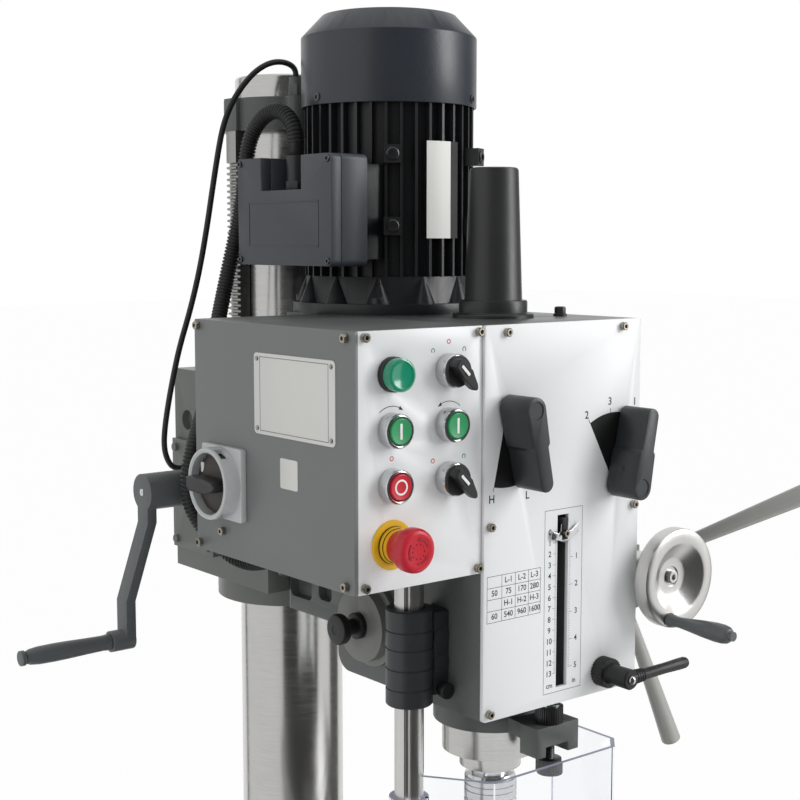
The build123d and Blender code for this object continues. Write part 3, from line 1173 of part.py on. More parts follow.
def make_controls():
    """Lamp, bezels, buttons, selectors and the emergency stop on the control panel."""
    lamp, mode, forward, reverse, stop, coolant = DEVICES
    with BuildPart() as bezels:
        for x, z in (mode, forward, reverse, stop, coolant):
            rod_y(x, (CONTROL_FACE - BEZEL_OUT, CONTROL_FACE), z, BEZEL_R)
            rod_y(x, (CONTROL_FACE - BEZEL_OUT, CONTROL_FACE), z, BUTTON_R + BUTTON_GAP, Mode.SUBTRACT)
    save(bezels.part, "switch_bezels", HEAD)

    with BuildPart() as lens:
        rod_y(lamp[0], (CONTROL_FACE - LAMP_RIM, CONTROL_FACE), lamp[1], BEZEL_R)
        rod_y(lamp[0], (CONTROL_FACE - LAMP_OUT, CONTROL_FACE), lamp[1], LAMP_R)
        fillet(lens.edges().group_by(Axis.Y)[0], BUTTON_EDGE_R)
        rod_y(lamp[0], (CONTROL_FACE, CONTROL_FACE + BUTTON_STEM), lamp[1], BUTTON_R)
    save(lens.part, "pilot_lamp", HEAD)

    for name, (x, z) in (("forward_button", forward), ("reverse_button", reverse), ("stop_button", stop)):
        with BuildPart() as button:
            rod_y(x, (CONTROL_FACE - BUTTON_OUT, CONTROL_FACE + BUTTON_STEM), z, BUTTON_R)
            fillet(button.edges().group_by(Axis.Y)[0], BUTTON_EDGE_R)
        save(button.part, name, HEAD)

    selectors = (("mode_selector", mode, MODE_LEAN), ("coolant_selector", coolant, COOLANT_LEAN))
    for name, (x, z), lean in selectors:
        with BuildPart() as selector:
            rod_y(x, (CONTROL_FACE - SELECTOR_BASE, CONTROL_FACE + BUTTON_STEM), z, BUTTON_R)
            with BuildSketch(facing_front(CONTROL_FACE - SELECTOR_BASE)):
                with Locations(Location((x, z, 0), (0, 0, lean))):
                    SlotOverall(SELECTOR_BAR_LENGTH, SELECTOR_BAR)
            extrude(amount=SELECTOR_OUT - SELECTOR_BASE)
        save(selector.part, name, HEAD)

    x, z = ESTOP_PLACE
    collar_y = (CONTROL_FACE - ESTOP_COLLAR_OUT, CONTROL_FACE)
    with BuildPart() as collar:
        rod_y(x, collar_y, z, ESTOP_COLLAR_R)
        rod_y(x, collar_y, z, ESTOP_STEM_R + BUTTON_GAP, Mode.SUBTRACT)
    save(collar.part, "estop_collar", HEAD)

    with BuildPart() as mushroom:
        rod_y(x, (CONTROL_FACE - ESTOP_OUT, CONTROL_FACE - ESTOP_OUT + ESTOP_HEAD), z, ESTOP_HEAD_R)
        fillet(mushroom.edges().group_by(Axis.Y)[0], ESTOP_EDGE_R)
        rod_y(x, (CONTROL_FACE - ESTOP_OUT + ESTOP_HEAD, CONTROL_FACE + BUTTON_STEM), z, ESTOP_STEM_R)
    save(mushroom.part, "emergency_button", HEAD)


def make_isolator():
    """The main switch on the side cover: a square base with a ring, and the winged knob inside it."""
    ring_x = (SWITCH_FACE - SWITCH_RING_OUT, SWITCH_FACE)
    with BuildPart() as base:
        plate_half = SWITCH_PLATE / 2
        block((SWITCH_FACE, COVER_FACE), around(SWITCH_Y, plate_half), around(SWITCH_Z, plate_half))
        fillet(base.edges().filter_by(Axis.X), SWITCH_PLATE_R)
        rod_x(ring_x, SWITCH_Y, SWITCH_Z, SWITCH_RING_R)
        rod_x(ring_x, SWITCH_Y, SWITCH_Z, SWITCH_RING_R - SWITCH_RING_WALL, Mode.SUBTRACT)
        rod_x(
            (SWITCH_FACE, SWITCH_FACE + SWITCH_SHAFT_IN + PIECE_GAP), SWITCH_Y, SWITCH_Z,
            SWITCH_SHAFT_R + RUN_FIT, Mode.SUBTRACT,
        )
    save(base.part, "main_switch_base", HEAD)

    disc_r = SWITCH_RING_R - SWITCH_RING_WALL - BUTTON_GAP
    with BuildPart() as knob:
        rod_x((SWITCH_FACE - SWITCH_DISH, SWITCH_FACE - PIECE_GAP), SWITCH_Y, SWITCH_Z, disc_r)
        shaft_x = (SWITCH_FACE - SWITCH_DISH, SWITCH_FACE + SWITCH_SHAFT_IN)
        rod_x(shaft_x, SWITCH_Y, SWITCH_Z, SWITCH_SHAFT_R)
        with BuildSketch(facing_right(SWITCH_FACE - SWITCH_DISH)):
            with Locations((SWITCH_Y, SWITCH_Z)):
                SlotOverall(SWITCH_BAR_LENGTH, SWITCH_BAR)
        extrude(amount=SWITCH_DISH - SWITCH_BAR_OUT)
    save(knob.part, "main_switch_knob", HEAD)


def make_motor():
    """The motor: flanged end shield, finned stator, rotor with its fan, fan cover and terminal box."""
    axis = Location((0, PANEL_TO_MOTOR, 0))
    with BuildPart() as flange:
        rod_z(0, PANEL_TO_MOTOR, (HEAD_HEIGHT, MOTOR_SKIRT_BOTTOM), MOTOR_FLANGE_R)
        rod_z(0, PANEL_TO_MOTOR, (MOTOR_SKIRT_BOTTOM, MOTOR_SKIRT_TOP), MOTOR_SKIRT_R)
        with Locations((0, PANEL_TO_MOTOR, MOTOR_SKIRT_BOTTOM)):
            with PolarLocations(MOTOR_SKIRT_R, MOTOR_RIBS, start_angle=MOTOR_RIB_START):
                Cone(
                    MOTOR_RIB_R, MOTOR_RIB_TOP_R, MOTOR_SKIRT_TOP - MOTOR_SKIRT_BOTTOM,
                    align=(Align.CENTER, Align.CENTER, Align.MIN),
                )
            with PolarLocations(FLANGE_BOLT_RADIUS, FLANGE_BOLTS, start_angle=FLANGE_BOLT_START):
                Cylinder(
                    FLANGE_BOLT_HEAD_R, FLANGE_BOLT_HEAD, align=(Align.CENTER, Align.CENTER, Align.MIN)
                )
        rod_z(0, PANEL_TO_MOTOR, (HEAD_HEIGHT, MOTOR_SKIRT_TOP), MOTOR_SHAFT_R + RUN_FIT, Mode.SUBTRACT)
    save(flange.part, "motor_flange", HEAD)

    with BuildPart() as stator:
        with BuildSketch(Plane((0, PANEL_TO_MOTOR, MOTOR_SKIRT_TOP))):
            Circle(MOTOR_CORE_R)
            with PolarLocations((MOTOR_CORE_R + MOTOR_FIN_R - MOTOR_FIN_ROOT) / 2, MOTOR_FINS):
                Rectangle(MOTOR_FIN_R - MOTOR_CORE_R + MOTOR_FIN_ROOT, MOTOR_FIN)
        extrude(amount=MOTOR_TOP - MOTOR_SKIRT_TOP)
        block((-TERMINAL_PAD, 0), TERMINAL_PAD_Y, TERMINAL_PAD_Z)
        for angle in MOTOR_LUG_ANGLES:
            lug_axis = axis * Location((0, 0, 0), (0, 0, angle))
            for z in MOTOR_LUG_Z:
                with Locations(lug_axis * Location(((MOTOR_CORE_R + MOTOR_LUG_OUT) / 2, 0, z))):
                    Box(MOTOR_LUG_OUT - MOTOR_CORE_R, MOTOR_LUG, MOTOR_LUG)
                with Locations(lug_axis * Location((MOTOR_LUG_OUT, 0, z), (0, 90, 0))):
                    Cylinder(MOTOR_LUG_HOLE_R, MOTOR_LUG, mode=Mode.SUBTRACT)
        rod_z(
            0, PANEL_TO_MOTOR, (MOTOR_SKIRT_TOP, MOTOR_TOP - MOTOR_SHIELD), STATOR_BORE_R, Mode.SUBTRACT
        )
        rod_z(0, PANEL_TO_MOTOR, (MOTOR_SKIRT_TOP, MOTOR_TOP), MOTOR_SHAFT_R + RUN_FIT, Mode.SUBTRACT)
    save(stator.part, "motor_stator", HEAD)

    with BuildPart() as rotor:
        rod_z(0, PANEL_TO_MOTOR, MOTOR_SHAFT_Z, MOTOR_SHAFT_R)
        rod_z(0, PANEL_TO_MOTOR, ROTOR_Z, ROTOR_R)
        rod_z(0, PANEL_TO_MOTOR, FAN_Z, FAN_HUB_R)
        with Locations((0, PANEL_TO_MOTOR, sum(FAN_Z) / 2)):
            with PolarLocations((FAN_R + MOTOR_SHAFT_R) / 2, FAN_BLADES):
                Box(FAN_R - MOTOR_SHAFT_R, FAN_BLADE, FAN_Z[1] - FAN_Z[0])
    save(rotor.part, "motor_rotor", HEAD)

    inside_r = FAN_COVER_R - FAN_COVER_SHEET
    inside_top_r = FAN_COVER_TOP_R - FAN_COVER_SHEET / 2
    with BuildPart() as hood:
        with BuildSketch(Plane((0, PANEL_TO_MOTOR, 0), x_dir=(1, 0, 0), z_dir=(0, -1, 0))):
            with BuildLine():
                Polyline(
                    (inside_r, FAN_COVER_BOTTOM), (FAN_COVER_R, FAN_COVER_BOTTOM),
                    (FAN_COVER_R, FAN_COVER_EAVE), (FAN_COVER_TOP_R, FAN_COVER_TOP),
                    (0, FAN_COVER_TOP), (0, FAN_COVER_TOP - FAN_COVER_SHEET),
                    (inside_top_r, FAN_COVER_TOP - FAN_COVER_SHEET),
                    (inside_r, FAN_COVER_EAVE - FAN_COVER_SHEET / 2), close=True,
                )
            make_face()
        revolve(axis=Axis((0, PANEL_TO_MOTOR, 0), (0, 0, 1)))
        with BuildSketch(Plane((0, PANEL_TO_MOTOR, FAN_COVER_TOP))):
            for row_r, count in GRILLE_ROWS:
                with PolarLocations(row_r, count):
                    Circle(GRILLE_R)
        extrude(amount=-FAN_COVER_SHEET, mode=Mode.SUBTRACT)
    save(hood.part, "fan_cover", HEAD)

    with BuildPart() as box:
        terminal_plate((TERMINAL_SEAM, TERMINAL_BACK))
        block(
            (TERMINAL_SEAM, TERMINAL_BACK - TERMINAL_WALL),
            (TERMINAL_Y[0] + TERMINAL_WALL, TERMINAL_Y[1] - TERMINAL_WALL),
            (TERMINAL_Z[0] + TERMINAL_WALL, NOTCH_Z - TERMINAL_WALL), Mode.SUBTRACT,
        )
    save(box.part, "terminal_box", HEAD)

    with BuildPart() as lid:
        terminal_plate((TERMINAL_SEAM - TERMINAL_LID, TERMINAL_SEAM))
    save(lid.part, "terminal_box_lid", HEAD)


def make_cords():
    """The ribbed motor conduit between its two glands, and the thin cable from collar to bracket."""
    end = Vector(CONDUIT_ROUTE[-1])
    gland_z = (NOTCH_Z, NOTCH_Z + CONDUIT_GLAND)
    with BuildPart() as glands:
        rod_z(CONDUIT_GLAND_X, CONDUIT_GLAND_Y, gland_z, CONDUIT_R + CONDUIT_SLEEVE)
        with BuildSketch(Plane((CONDUIT_GLAND_X, CONDUIT_GLAND_Y, NOTCH_Z))):
            RegularPolygon(CONDUIT_NUT_R, 6)
        extrude(amount=CONDUIT_NUT)
        rod_z(end.X, ELBOW_Y, (ELBOW_BOTTOM, BOX_STEP), ELBOW_R)
        rod_y(end.X, (ELBOW_Y, end.Y), end.Z, CONDUIT_R + CONDUIT_SLEEVE)
    save(glands.part, "conduit_glands", HEAD)

    with BuildLine():
        cable_path = FilletPolyline(*CABLE_ROUTE, radius=corner_radii(CABLE_ROUTE))
    with BuildLine():
        conduit_path = FilletPolyline(*CONDUIT_ROUTE, radius=corner_radii(CONDUIT_ROUTE))
    with BuildPart() as cable:
        with BuildSketch(Plane(cable_path @ 0, z_dir=cable_path % 0)):
            Circle(CABLE_R)
        sweep(path=cable_path)
    save(cable.part, "control_cable", HEAD)

    length = conduit_path.length
    plain = 2 * CONDUIT_R
    ribs = int((length - 2 * plain) / CONDUIT_PITCH)
    pitch = (length - 2 * plain) / ribs
    rings = [(0, CONDUIT_VALLEY_R)]
    for rib in range(ribs):
        foot = plain + rib * pitch
        rings += [(foot, CONDUIT_VALLEY_R), (foot + pitch * RIB_RISE, CONDUIT_R)]
        rings += [(foot + pitch * RIB_FALL, CONDUIT_R), (foot + pitch * RIB_FOOT, CONDUIT_VALLEY_R)]
    rings.append((length, CONDUIT_VALLEY_R))
    tangent = conduit_path % 0
    across = Vector(1, 0, 0)
    with BuildPart() as conduit:
        for distance, radius in rings:
            turned = conduit_path % (distance / length)
            across = (across - turned * across.dot(turned)).normalized()
            with BuildSketch(Plane(conduit_path @ (distance / length), x_dir=across, z_dir=turned)):
                Circle(radius)
        loft(ruled=True)
        with BuildSketch(Plane(conduit_path @ 0, x_dir=(1, 0, 0), z_dir=tangent)):
            Circle(CONDUIT_BORE_R)
        sweep(path=conduit_path, mode=Mode.SUBTRACT)
    save(conduit.part, "motor_conduit", HEAD)
    print("conduit", round(length), "mm long,", ribs, "ribs")
    print("cable", round(cable_path.length), "mm long")
    for route in (CONDUIT_ROUTE, CABLE_ROUTE):
        print("bend radii", [round(radius) for radius in corner_radii(route)])


def make_caps():
    """The tapered cap over the drawbar, and the oil filler plug beside it."""
    with BuildPart() as caps:
        rod_z(0, PANEL_TO_SPINDLE, (HEAD_HEIGHT, HEAD_HEIGHT + CAP_FLANGE), CAP_FLANGE_R)
        rod_z(0, PANEL_TO_SPINDLE, (HEAD_HEIGHT, CAP_RING_TOP), CAP_RING_R)
        with Locations((0, PANEL_TO_SPINDLE, HEAD_HEIGHT)):
            Cone(
                CAP_BOTTOM_R, CAP_TOP_R, CAP_TOP - HEAD_HEIGHT,
                align=(Align.CENTER, Align.CENTER, Align.MIN),
            )
            Cone(
                CAP_BOTTOM_R - CAP_WALL, CAP_TOP_R - CAP_WALL, CAP_TOP - CAP_WALL - HEAD_HEIGHT,
                align=(Align.CENTER, Align.CENTER, Align.MIN), mode=Mode.SUBTRACT,
            )
        rod_z(*OIL_PLUG, (HEAD_HEIGHT, HEAD_HEIGHT + OIL_PLUG_HEIGHT), OIL_PLUG_R)
    save(caps.part, "drawbar_cap", HEAD)


def make_quill():
    """Quill with its rack, spindle, keyless chuck, and the depth stop that rides on the quill."""
    rack_flat = FEED_PITCH_Y + ADDENDUM * FEED_MODULE
    quill_back = PANEL_TO_SPINDLE + QUILL_R
    with BuildPart() as quill:
        rod_z(0, PANEL_TO_SPINDLE, (QUILL_BOTTOM, QUILL_TOP), QUILL_R)
        rod_z(0, PANEL_TO_SPINDLE, (QUILL_BOTTOM, QUILL_TOP), SPINDLE_R + RUN_FIT, Mode.SUBTRACT)
        rack_z = (FEED_Z + (FEED_RACK_GAPS[0] - 1) * FEED_PITCH, QUILL_TOP)
        block(both_sides(QUILL_RACK_HALF), (rack_flat, quill_back), rack_z, Mode.SUBTRACT)
        with BuildSketch(Plane((-QUILL_RACK_HALF, FEED_PITCH_Y, 0), x_dir=(0, 1, 0), z_dir=(1, 0, 0))):
            for gap in range(*FEED_RACK_GAPS):
                with BuildLine():
                    Polyline(*rack_gap(FEED_MODULE, FEED_Z + gap * FEED_PITCH), close=True)
                make_face()
        extrude(amount=2 * QUILL_RACK_HALF, mode=Mode.SUBTRACT)
    save(quill.part, "quill_sleeve", HEAD)

    with BuildPart() as spindle:
        rod_z(0, PANEL_TO_SPINDLE, (NOSE_TOP, SPINDLE_SHOULDER), SPINDLE_R)
        rod_z(0, PANEL_TO_SPINDLE, (SPINDLE_SHOULDER, SPINDLE_TOP), SPINDLE_SPLINE_R)
        rod_z(0, PANEL_TO_SPINDLE, (NOSE_BOTTOM, NOSE_TOP), NOSE_R)
    save(spindle.part, "spindle", HEAD)

    neck_z = NOSE_BOTTOM - CHUCK_NECK
    body_z = neck_z - CHUCK_BODY
    tip_z = body_z - CHUCK_TIP
    with BuildPart() as chuck:
        rod_z(0, PANEL_TO_SPINDLE, (neck_z, NOSE_BOTTOM), CHUCK_NECK_R)
        rod_z(0, PANEL_TO_SPINDLE, (body_z, neck_z), CHUCK_R)
        with Locations((0, PANEL_TO_SPINDLE, body_z)):
            Cone(CHUCK_TIP_R, CHUCK_R, CHUCK_TIP, align=(Align.CENTER, Align.CENTER, Align.MAX))
        rod_z(0, PANEL_TO_SPINDLE, (tip_z, tip_z + CHUCK_BORE), CHUCK_BORE_R, Mode.SUBTRACT)
    save(chuck.part, "keyless_chuck", HEAD)

    rod_hole = ROD_HOLE_GAP + DEPTH_ROD_R
    with BuildPart() as stop:
        rod_z(0, PANEL_TO_SPINDLE, STOP_RING_Z, STOP_RING_R)
        arm = [
            (-STOP_ARM_HALF, PANEL_TO_SPINDLE), (-STOP_HEAD_HALF, STOP_HEAD_Y[0]),
            (STOP_HEAD_HALF, STOP_HEAD_Y[0]), (STOP_ARM_HALF, PANEL_TO_SPINDLE),
        ]
        prism(Plane((0, 0, STOP_RING_Z[0])), arm, STOP_HEAD_Z[1] - STOP_RING_Z[0])
        block(both_sides(STOP_HEAD_HALF), STOP_HEAD_Y, STOP_HEAD_Z)
        notch_z = (STOP_HEAD_Z[0], STOP_HEAD_Z[0] + STOP_NOTCH)
        block(around(DEPTH_ROD[0], STOP_NOTCH_HALF), STOP_HEAD_Y, notch_z, Mode.SUBTRACT)
        rod_z(0, PANEL_TO_SPINDLE, STOP_RING_Z, QUILL_R + RUN_FIT, Mode.SUBTRACT)
        rod_z(*DEPTH_ROD, STOP_HEAD_Z, rod_hole, Mode.SUBTRACT)
    save(stop.part, "depth_stop_clamp", HEAD)

    x, y = DEPTH_ROD
    with BuildPart() as rod:
        rod_z(x, y, (DEPTH_ROD_BOTTOM, DEPTH_ROD_TOP), DEPTH_ROD_R)
        rod_z(x, y, (STOP_HEAD_Z[1], STOP_HEAD_Z[1] + DEPTH_NUT), DEPTH_NUT_R)
        rod_z(x, y, (DEPTH_ROD_BOTTOM, notch_z[1]), ROD_NECK_R)
        rod_z(x, y, (DEPTH_ROD_BOTTOM, DEPTH_ROD_BOTTOM + ROD_NUT), ROD_NUT_R)
        block(around(x, POINTER_HALF), (POINTER_Y[0], y), POINTER_Z)
        block(around(x, POINTER_PLATE_HALF), POINTER_Y, POINTER_Z)
    save(rod.part, "depth_rod", HEAD)


def make_feed():
    """Quill feed: pinion shaft with the capstan hub, its levers, the housings and the fine-feed wheel."""
    axis_at = (FEED_Y, FEED_Z)
    shaft_end = SPRING_FACE + SPRING_LID + PIECE_GAP
    with BuildPart() as shaft:
        rod_x((shaft_end, FEED_JOURNAL_START), *axis_at, FEED_SHAFT_R)
        rod_x((FEED_JOURNAL_START, HUB_X[0]), *axis_at, FEED_JOURNAL_R)
        rod_x(HUB_X, *axis_at, HUB_R)
        left = Plane((-FEED_PINION_HALF, FEED_Y, FEED_Z), x_dir=(0, -1, 0), z_dir=(1, 0, 0))
        prism(left, gear_outline(FEED_MODULE, FEED_TEETH), 2 * FEED_PINION_HALF)
        for lever in range(LEVER_COUNT):
            with Locations(lever_place(lever)):
                Cylinder(
                    LEVER_ROOT_R + LEVER_FIT, LEVER_LENGTH,
                    align=(Align.CENTER, Align.CENTER, Align.MIN), mode=Mode.SUBTRACT,
                )
    save(shaft.part, "feed_shaft", HEAD)

    with BuildPart() as levers:
        for lever in range(LEVER_COUNT):
            with Locations(lever_place(lever)):
                Cylinder(LEVER_ROOT_R, LEVER_NECK, align=(Align.CENTER, Align.CENTER, Align.MIN))
            with Locations(lever_place(lever) * Location((0, 0, LEVER_NECK))):
                Cone(
                    LEVER_ROOT_R, LEVER_TIP_R, LEVER_LENGTH - LEVER_NECK,
                    align=(Align.CENTER, Align.CENTER, Align.MIN),
                )
    save(levers.part, "feed_levers", HEAD)

    base_x = (-GEARBOX_HALF - SPRING_BASE, -GEARBOX_HALF)
    stem_x = (SPRING_FACE, SPRING_FACE + KNOB_STEM + PIECE_GAP)
    fine_bore = (FINE_HOUSING_Y[0], FINE_SHAFT_BACK + PIECE_GAP)
    with BuildPart() as housings:
        rod_x(base_x, *axis_at, SPRING_BASE_R)
        rod_x((SPRING_FACE, base_x[0]), *axis_at, SPRING_R)
        rod_x((SPRING_FACE + SPRING_LID, -GEARBOX_HALF), *axis_at, FEED_SHAFT_R + RUN_FIT, Mode.SUBTRACT)
        rod_x(stem_x, *axis_at, KNOB_STEM_R + RUN_FIT, Mode.SUBTRACT)
        rod_x((GEARBOX_HALF, FEED_HOUSING_END), *axis_at, FEED_HOUSING_R)
        block(FINE_HOUSING_X, FINE_HOUSING_Y, FINE_HOUSING_Z)
        rod_x((GEARBOX_HALF, FEED_HOUSING_END), *axis_at, FEED_JOURNAL_R + RUN_FIT, Mode.SUBTRACT)
        rod_y(FINE_X, fine_bore, FINE_Z, FINE_SHAFT_R + RUN_FIT, Mode.SUBTRACT)
    save(housings.part, "feed_housings", HEAD)

    head_x = SPRING_FACE - KNOB_NECK - KNOB_LENGTH
    with BuildPart() as knob:
        rod_x((SPRING_FACE - KNOB_NECK, SPRING_FACE - PIECE_GAP), *axis_at, KNOB_NECK_R)
        rod_x((head_x, SPRING_FACE - KNOB_NECK), *axis_at, KNOB_R)
        fillet(knob.edges().group_by(Axis.X)[0], BUTTON_EDGE_R)
        rod_x((SPRING_FACE - KNOB_NECK, SPRING_FACE + KNOB_STEM), *axis_at, KNOB_STEM_R)
    save(knob.part, "spring_knob", HEAD)

    back = FINE_FACE + FINE_RIM
    with BuildPart() as wheel:
        rod_y(FINE_X, (FINE_FACE, back), FINE_Z, FINE_R)
        with Locations(Location((FINE_X, FINE_FACE, FINE_Z), (90, 0, 0))):
            Cone(
                FINE_HUB_R, FINE_DISH_R, FINE_DISH,
                align=(Align.CENTER, Align.CENTER, Align.MAX), mode=Mode.SUBTRACT,
            )
        rod_y(FINE_X, (back, FINE_HOUSING_Y[0] - PIECE_GAP), FINE_Z, FINE_HUB_R)
        rod_y(FINE_X, (back, FINE_SHAFT_BACK), FINE_Z, FINE_SHAFT_R)
        pin_end = FINE_FACE - GRIP_END_GAP - FINE_GRIP - GRIP_END_GAP
        rod_y(FINE_GRIP_X, (pin_end, FINE_FACE), FINE_GRIP_Z, GRIP_PIN_R)
        rod_y(FINE_GRIP_X, (pin_end - GRIP_CAP, pin_end), FINE_GRIP_Z, GRIP_CAP_R)
    save(wheel.part, "fine_feed_wheel", HEAD)

    grip_y = (FINE_FACE - GRIP_END_GAP - FINE_GRIP, FINE_FACE - GRIP_END_GAP)
    with BuildPart() as grip:
        with Locations(Location((FINE_GRIP_X, grip_y[1], FINE_GRIP_Z), (90, 0, 0))):
            Cone(FINE_GRIP_NECK_R, FINE_GRIP_R, FINE_GRIP, align=(Align.CENTER, Align.CENTER, Align.MIN))
        rod_y(FINE_GRIP_X, grip_y, FINE_GRIP_Z, GRIP_PIN_R + RUN_FIT, Mode.SUBTRACT)
    save(grip.part, "fine_feed_grip", HEAD)


def make_front_levers():
    """The two speed-change paddles and the quill lock on the front panel."""
    for name, pivot, target in (
        ("range_lever", RANGE_PIVOT, RANGE_TARGET), ("speed_lever", SPEED_PIVOT, SPEED_TARGET),
    ):
        reach = (Vector(*target) - Vector(*pivot)).normalized() * LEVER_REACH
        with BuildPart() as lever:
            with BuildSketch(facing_front(-LEVER_CLEAR)):
                with Locations(pivot):
                    Circle(LEVER_PIVOT_R)
                    with Locations((reach.X, reach.Y)):
                        Circle(LEVER_END_R)
                make_hull()
            extrude(amount=LEVER_OUT - LEVER_CLEAR)
            fillet(lever.edges().group_by(Axis.Y)[0], LEVER_EDGE_R)
            rod_y(pivot[0], (-LEVER_CLEAR, PANEL_THICK + GEARBOX_WALL), pivot[1], LEVER_STUD_R)
        save(lever.part, name, HEAD)

    x, z = LOCK_PIVOT
    with BuildPart() as lock:
        rod_y(x, (-LOCK_FLANGE, -PIECE_GAP), z, LOCK_FLANGE_R)
        rod_y(x, (-LOCK_HUB_OUT, -LOCK_FLANGE), z, LOCK_HUB_R)
        rod_y(x, (-PIECE_GAP, LOCK_STUD), z, LEVER_STUD_R)
        with BuildSketch(facing_front(-LOCK_HUB_OUT + LOCK_ARM)):
            with Locations((x, z)):
                Circle(LOCK_ROOT_R)
                with Locations((LOCK_REACH, LOCK_RISE)):
                    Circle(LOCK_TIP_R)
            make_hull()
        extrude(amount=LOCK_ARM)
    save(lock.part, "quill_lock_lever", HEAD)


def make_guard():
    """The chuck guard: sleeve clamp with its thumb screw, fluted post, and the clear folded shield."""
    with BuildPart() as clamp:
        rod_z(POST_X, POST_Y, SLEEVE_Z, SLEEVE_R)
        block((POST_X, -GEARBOX_HALF), SLEEVE_WEB_Y, SLEEVE_WEB_Z)
        rod_z(POST_X, POST_Y, SLEEVE_Z, POST_R + RUN_FIT, Mode.SUBTRACT)
        stem_hole = (SLEEVE_WEB_Y[0], SLEEVE_WEB_Y[0] + THUMB_STEM + PIECE_GAP)
        rod_y(THUMB_X, stem_hole, THUMB_Z, THUMB_STEM_R + RUN_FIT, Mode.SUBTRACT)
    save(clamp.part, "guard_clamp", HEAD)

    thumb_back = SLEEVE_WEB_Y[0] - PIECE_GAP
    with BuildPart() as thumb:
        rod_y(THUMB_X, (thumb_back - THUMB_LENGTH, thumb_back), THUMB_Z, THUMB_R)
        rod_y(THUMB_X, (thumb_back, SLEEVE_WEB_Y[0] + THUMB_STEM), THUMB_Z, THUMB_STEM_R)
    save(thumb.part, "guard_knob", HEAD)

    with BuildPart() as post:
        rod_z(POST_X, POST_Y, POST_Z, POST_R)
        with BuildSketch(Plane((POST_X, POST_Y, POST_Z[0]))):
            with PolarLocations(POST_R, POST_FLUTES, start_angle=POST_FLUTE_START):
                Circle(POST_FLUTE_R)
        extrude(amount=POST_Z[1] - POST_Z[0], mode=Mode.SUBTRACT)
    save(post.part, "guard_post", HEAD)

    with BuildPart() as shield:
        with BuildSketch(Plane((0, 0, SHIELD_Z[0]))):
            with BuildLine():
                Polyline((POST_X, POST_Y), SHIELD_LEFT, SHIELD_RIGHT, SHIELD_CHAMFER, SHIELD_WING)
            trace(line_width=SHIELD_SHEET)
        extrude(amount=SHIELD_Z[1] - SHIELD_Z[0])
        rod_z(POST_X, POST_Y, SHIELD_SLEEVE_Z, SHIELD_SLEEVE_R)
        rod_z(POST_X, POST_Y, SHIELD_Z, POST_R + RUN_FIT, Mode.SUBTRACT)
    save(shield.part, "guard_shield", HEAD)


make_base_casting()
make_column()
make_saddle()
make_table()
make_feed_screws()
make_mast()
make_bracket()
make_lift_drive()
make_gearbox()
make_electrical_box()
make_fasteners()
make_controls()
make_isolator()
make_motor()
make_caps()
make_quill()
make_feed()
make_front_levers()
make_guard()
make_cords()
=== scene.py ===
# %% [markdown]
# # A column mill drill, dressed over its CAD frame
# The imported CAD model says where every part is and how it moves. This lesson loads it as a fixed
# frame, models the pieces that need a finer shape, and gives every surface a finish made of nodes.

# %% Load the frame
import math

import bpy
from mathutils import Matrix, Vector


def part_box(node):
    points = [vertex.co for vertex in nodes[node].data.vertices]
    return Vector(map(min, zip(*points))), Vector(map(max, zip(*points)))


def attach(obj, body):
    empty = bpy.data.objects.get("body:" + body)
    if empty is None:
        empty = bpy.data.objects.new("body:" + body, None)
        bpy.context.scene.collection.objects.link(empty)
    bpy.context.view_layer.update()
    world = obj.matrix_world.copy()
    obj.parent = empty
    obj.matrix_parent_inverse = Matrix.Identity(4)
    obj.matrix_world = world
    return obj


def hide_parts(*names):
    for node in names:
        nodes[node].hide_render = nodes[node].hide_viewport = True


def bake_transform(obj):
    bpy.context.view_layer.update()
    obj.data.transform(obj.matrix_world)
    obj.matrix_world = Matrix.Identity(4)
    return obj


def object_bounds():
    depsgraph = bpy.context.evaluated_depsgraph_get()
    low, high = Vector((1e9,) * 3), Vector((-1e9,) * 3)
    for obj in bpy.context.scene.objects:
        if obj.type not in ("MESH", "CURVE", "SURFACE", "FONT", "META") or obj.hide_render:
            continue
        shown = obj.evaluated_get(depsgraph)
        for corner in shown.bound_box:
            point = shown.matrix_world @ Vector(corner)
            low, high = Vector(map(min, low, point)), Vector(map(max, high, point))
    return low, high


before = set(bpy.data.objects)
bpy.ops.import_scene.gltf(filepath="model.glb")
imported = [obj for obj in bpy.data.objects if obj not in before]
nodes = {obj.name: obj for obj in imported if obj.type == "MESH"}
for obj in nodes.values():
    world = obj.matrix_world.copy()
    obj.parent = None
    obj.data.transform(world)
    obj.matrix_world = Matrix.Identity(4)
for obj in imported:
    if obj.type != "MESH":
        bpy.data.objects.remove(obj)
cad_box = [list(corner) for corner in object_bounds()]

# %% [markdown]
# The head was measured from its white front panel: X across, Y back from the panel's face and Z up
# from its lower edge, in millimetres. One small function turns such a place into the frame's metres,
# so each piece can be written down with the numbers a fitter would read off the machine.

# %% Places on the head
MM = 0.001
ORIGIN = Vector((0, 0, 0))
panel_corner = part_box("gearbox_front_panel")[0]
HEAD_ZERO = Vector((0, panel_corner.y, panel_corner.z))


def at_head(x, y, z):
    """A place given in millimetres from the front panel's lower edge, in metres."""
    return HEAD_ZERO + Vector((x, y, z)) * MM


print("head zero", [round(v, 4) for v in HEAD_ZERO])

# %% [markdown]
# The photograph looks slightly down on the head from the front left, through a fairly long lens. A
# camera with the same place, turn and lens makes the render and the photograph line up.

# %% Camera
CAMERA_PLACE = at_head(-918.3, -916.2, 419.1)
CAMERA_TILT = 83.7
CAMERA_TURN = -38.53
CAMERA_LENS = 65.52
SENSOR = 36.0

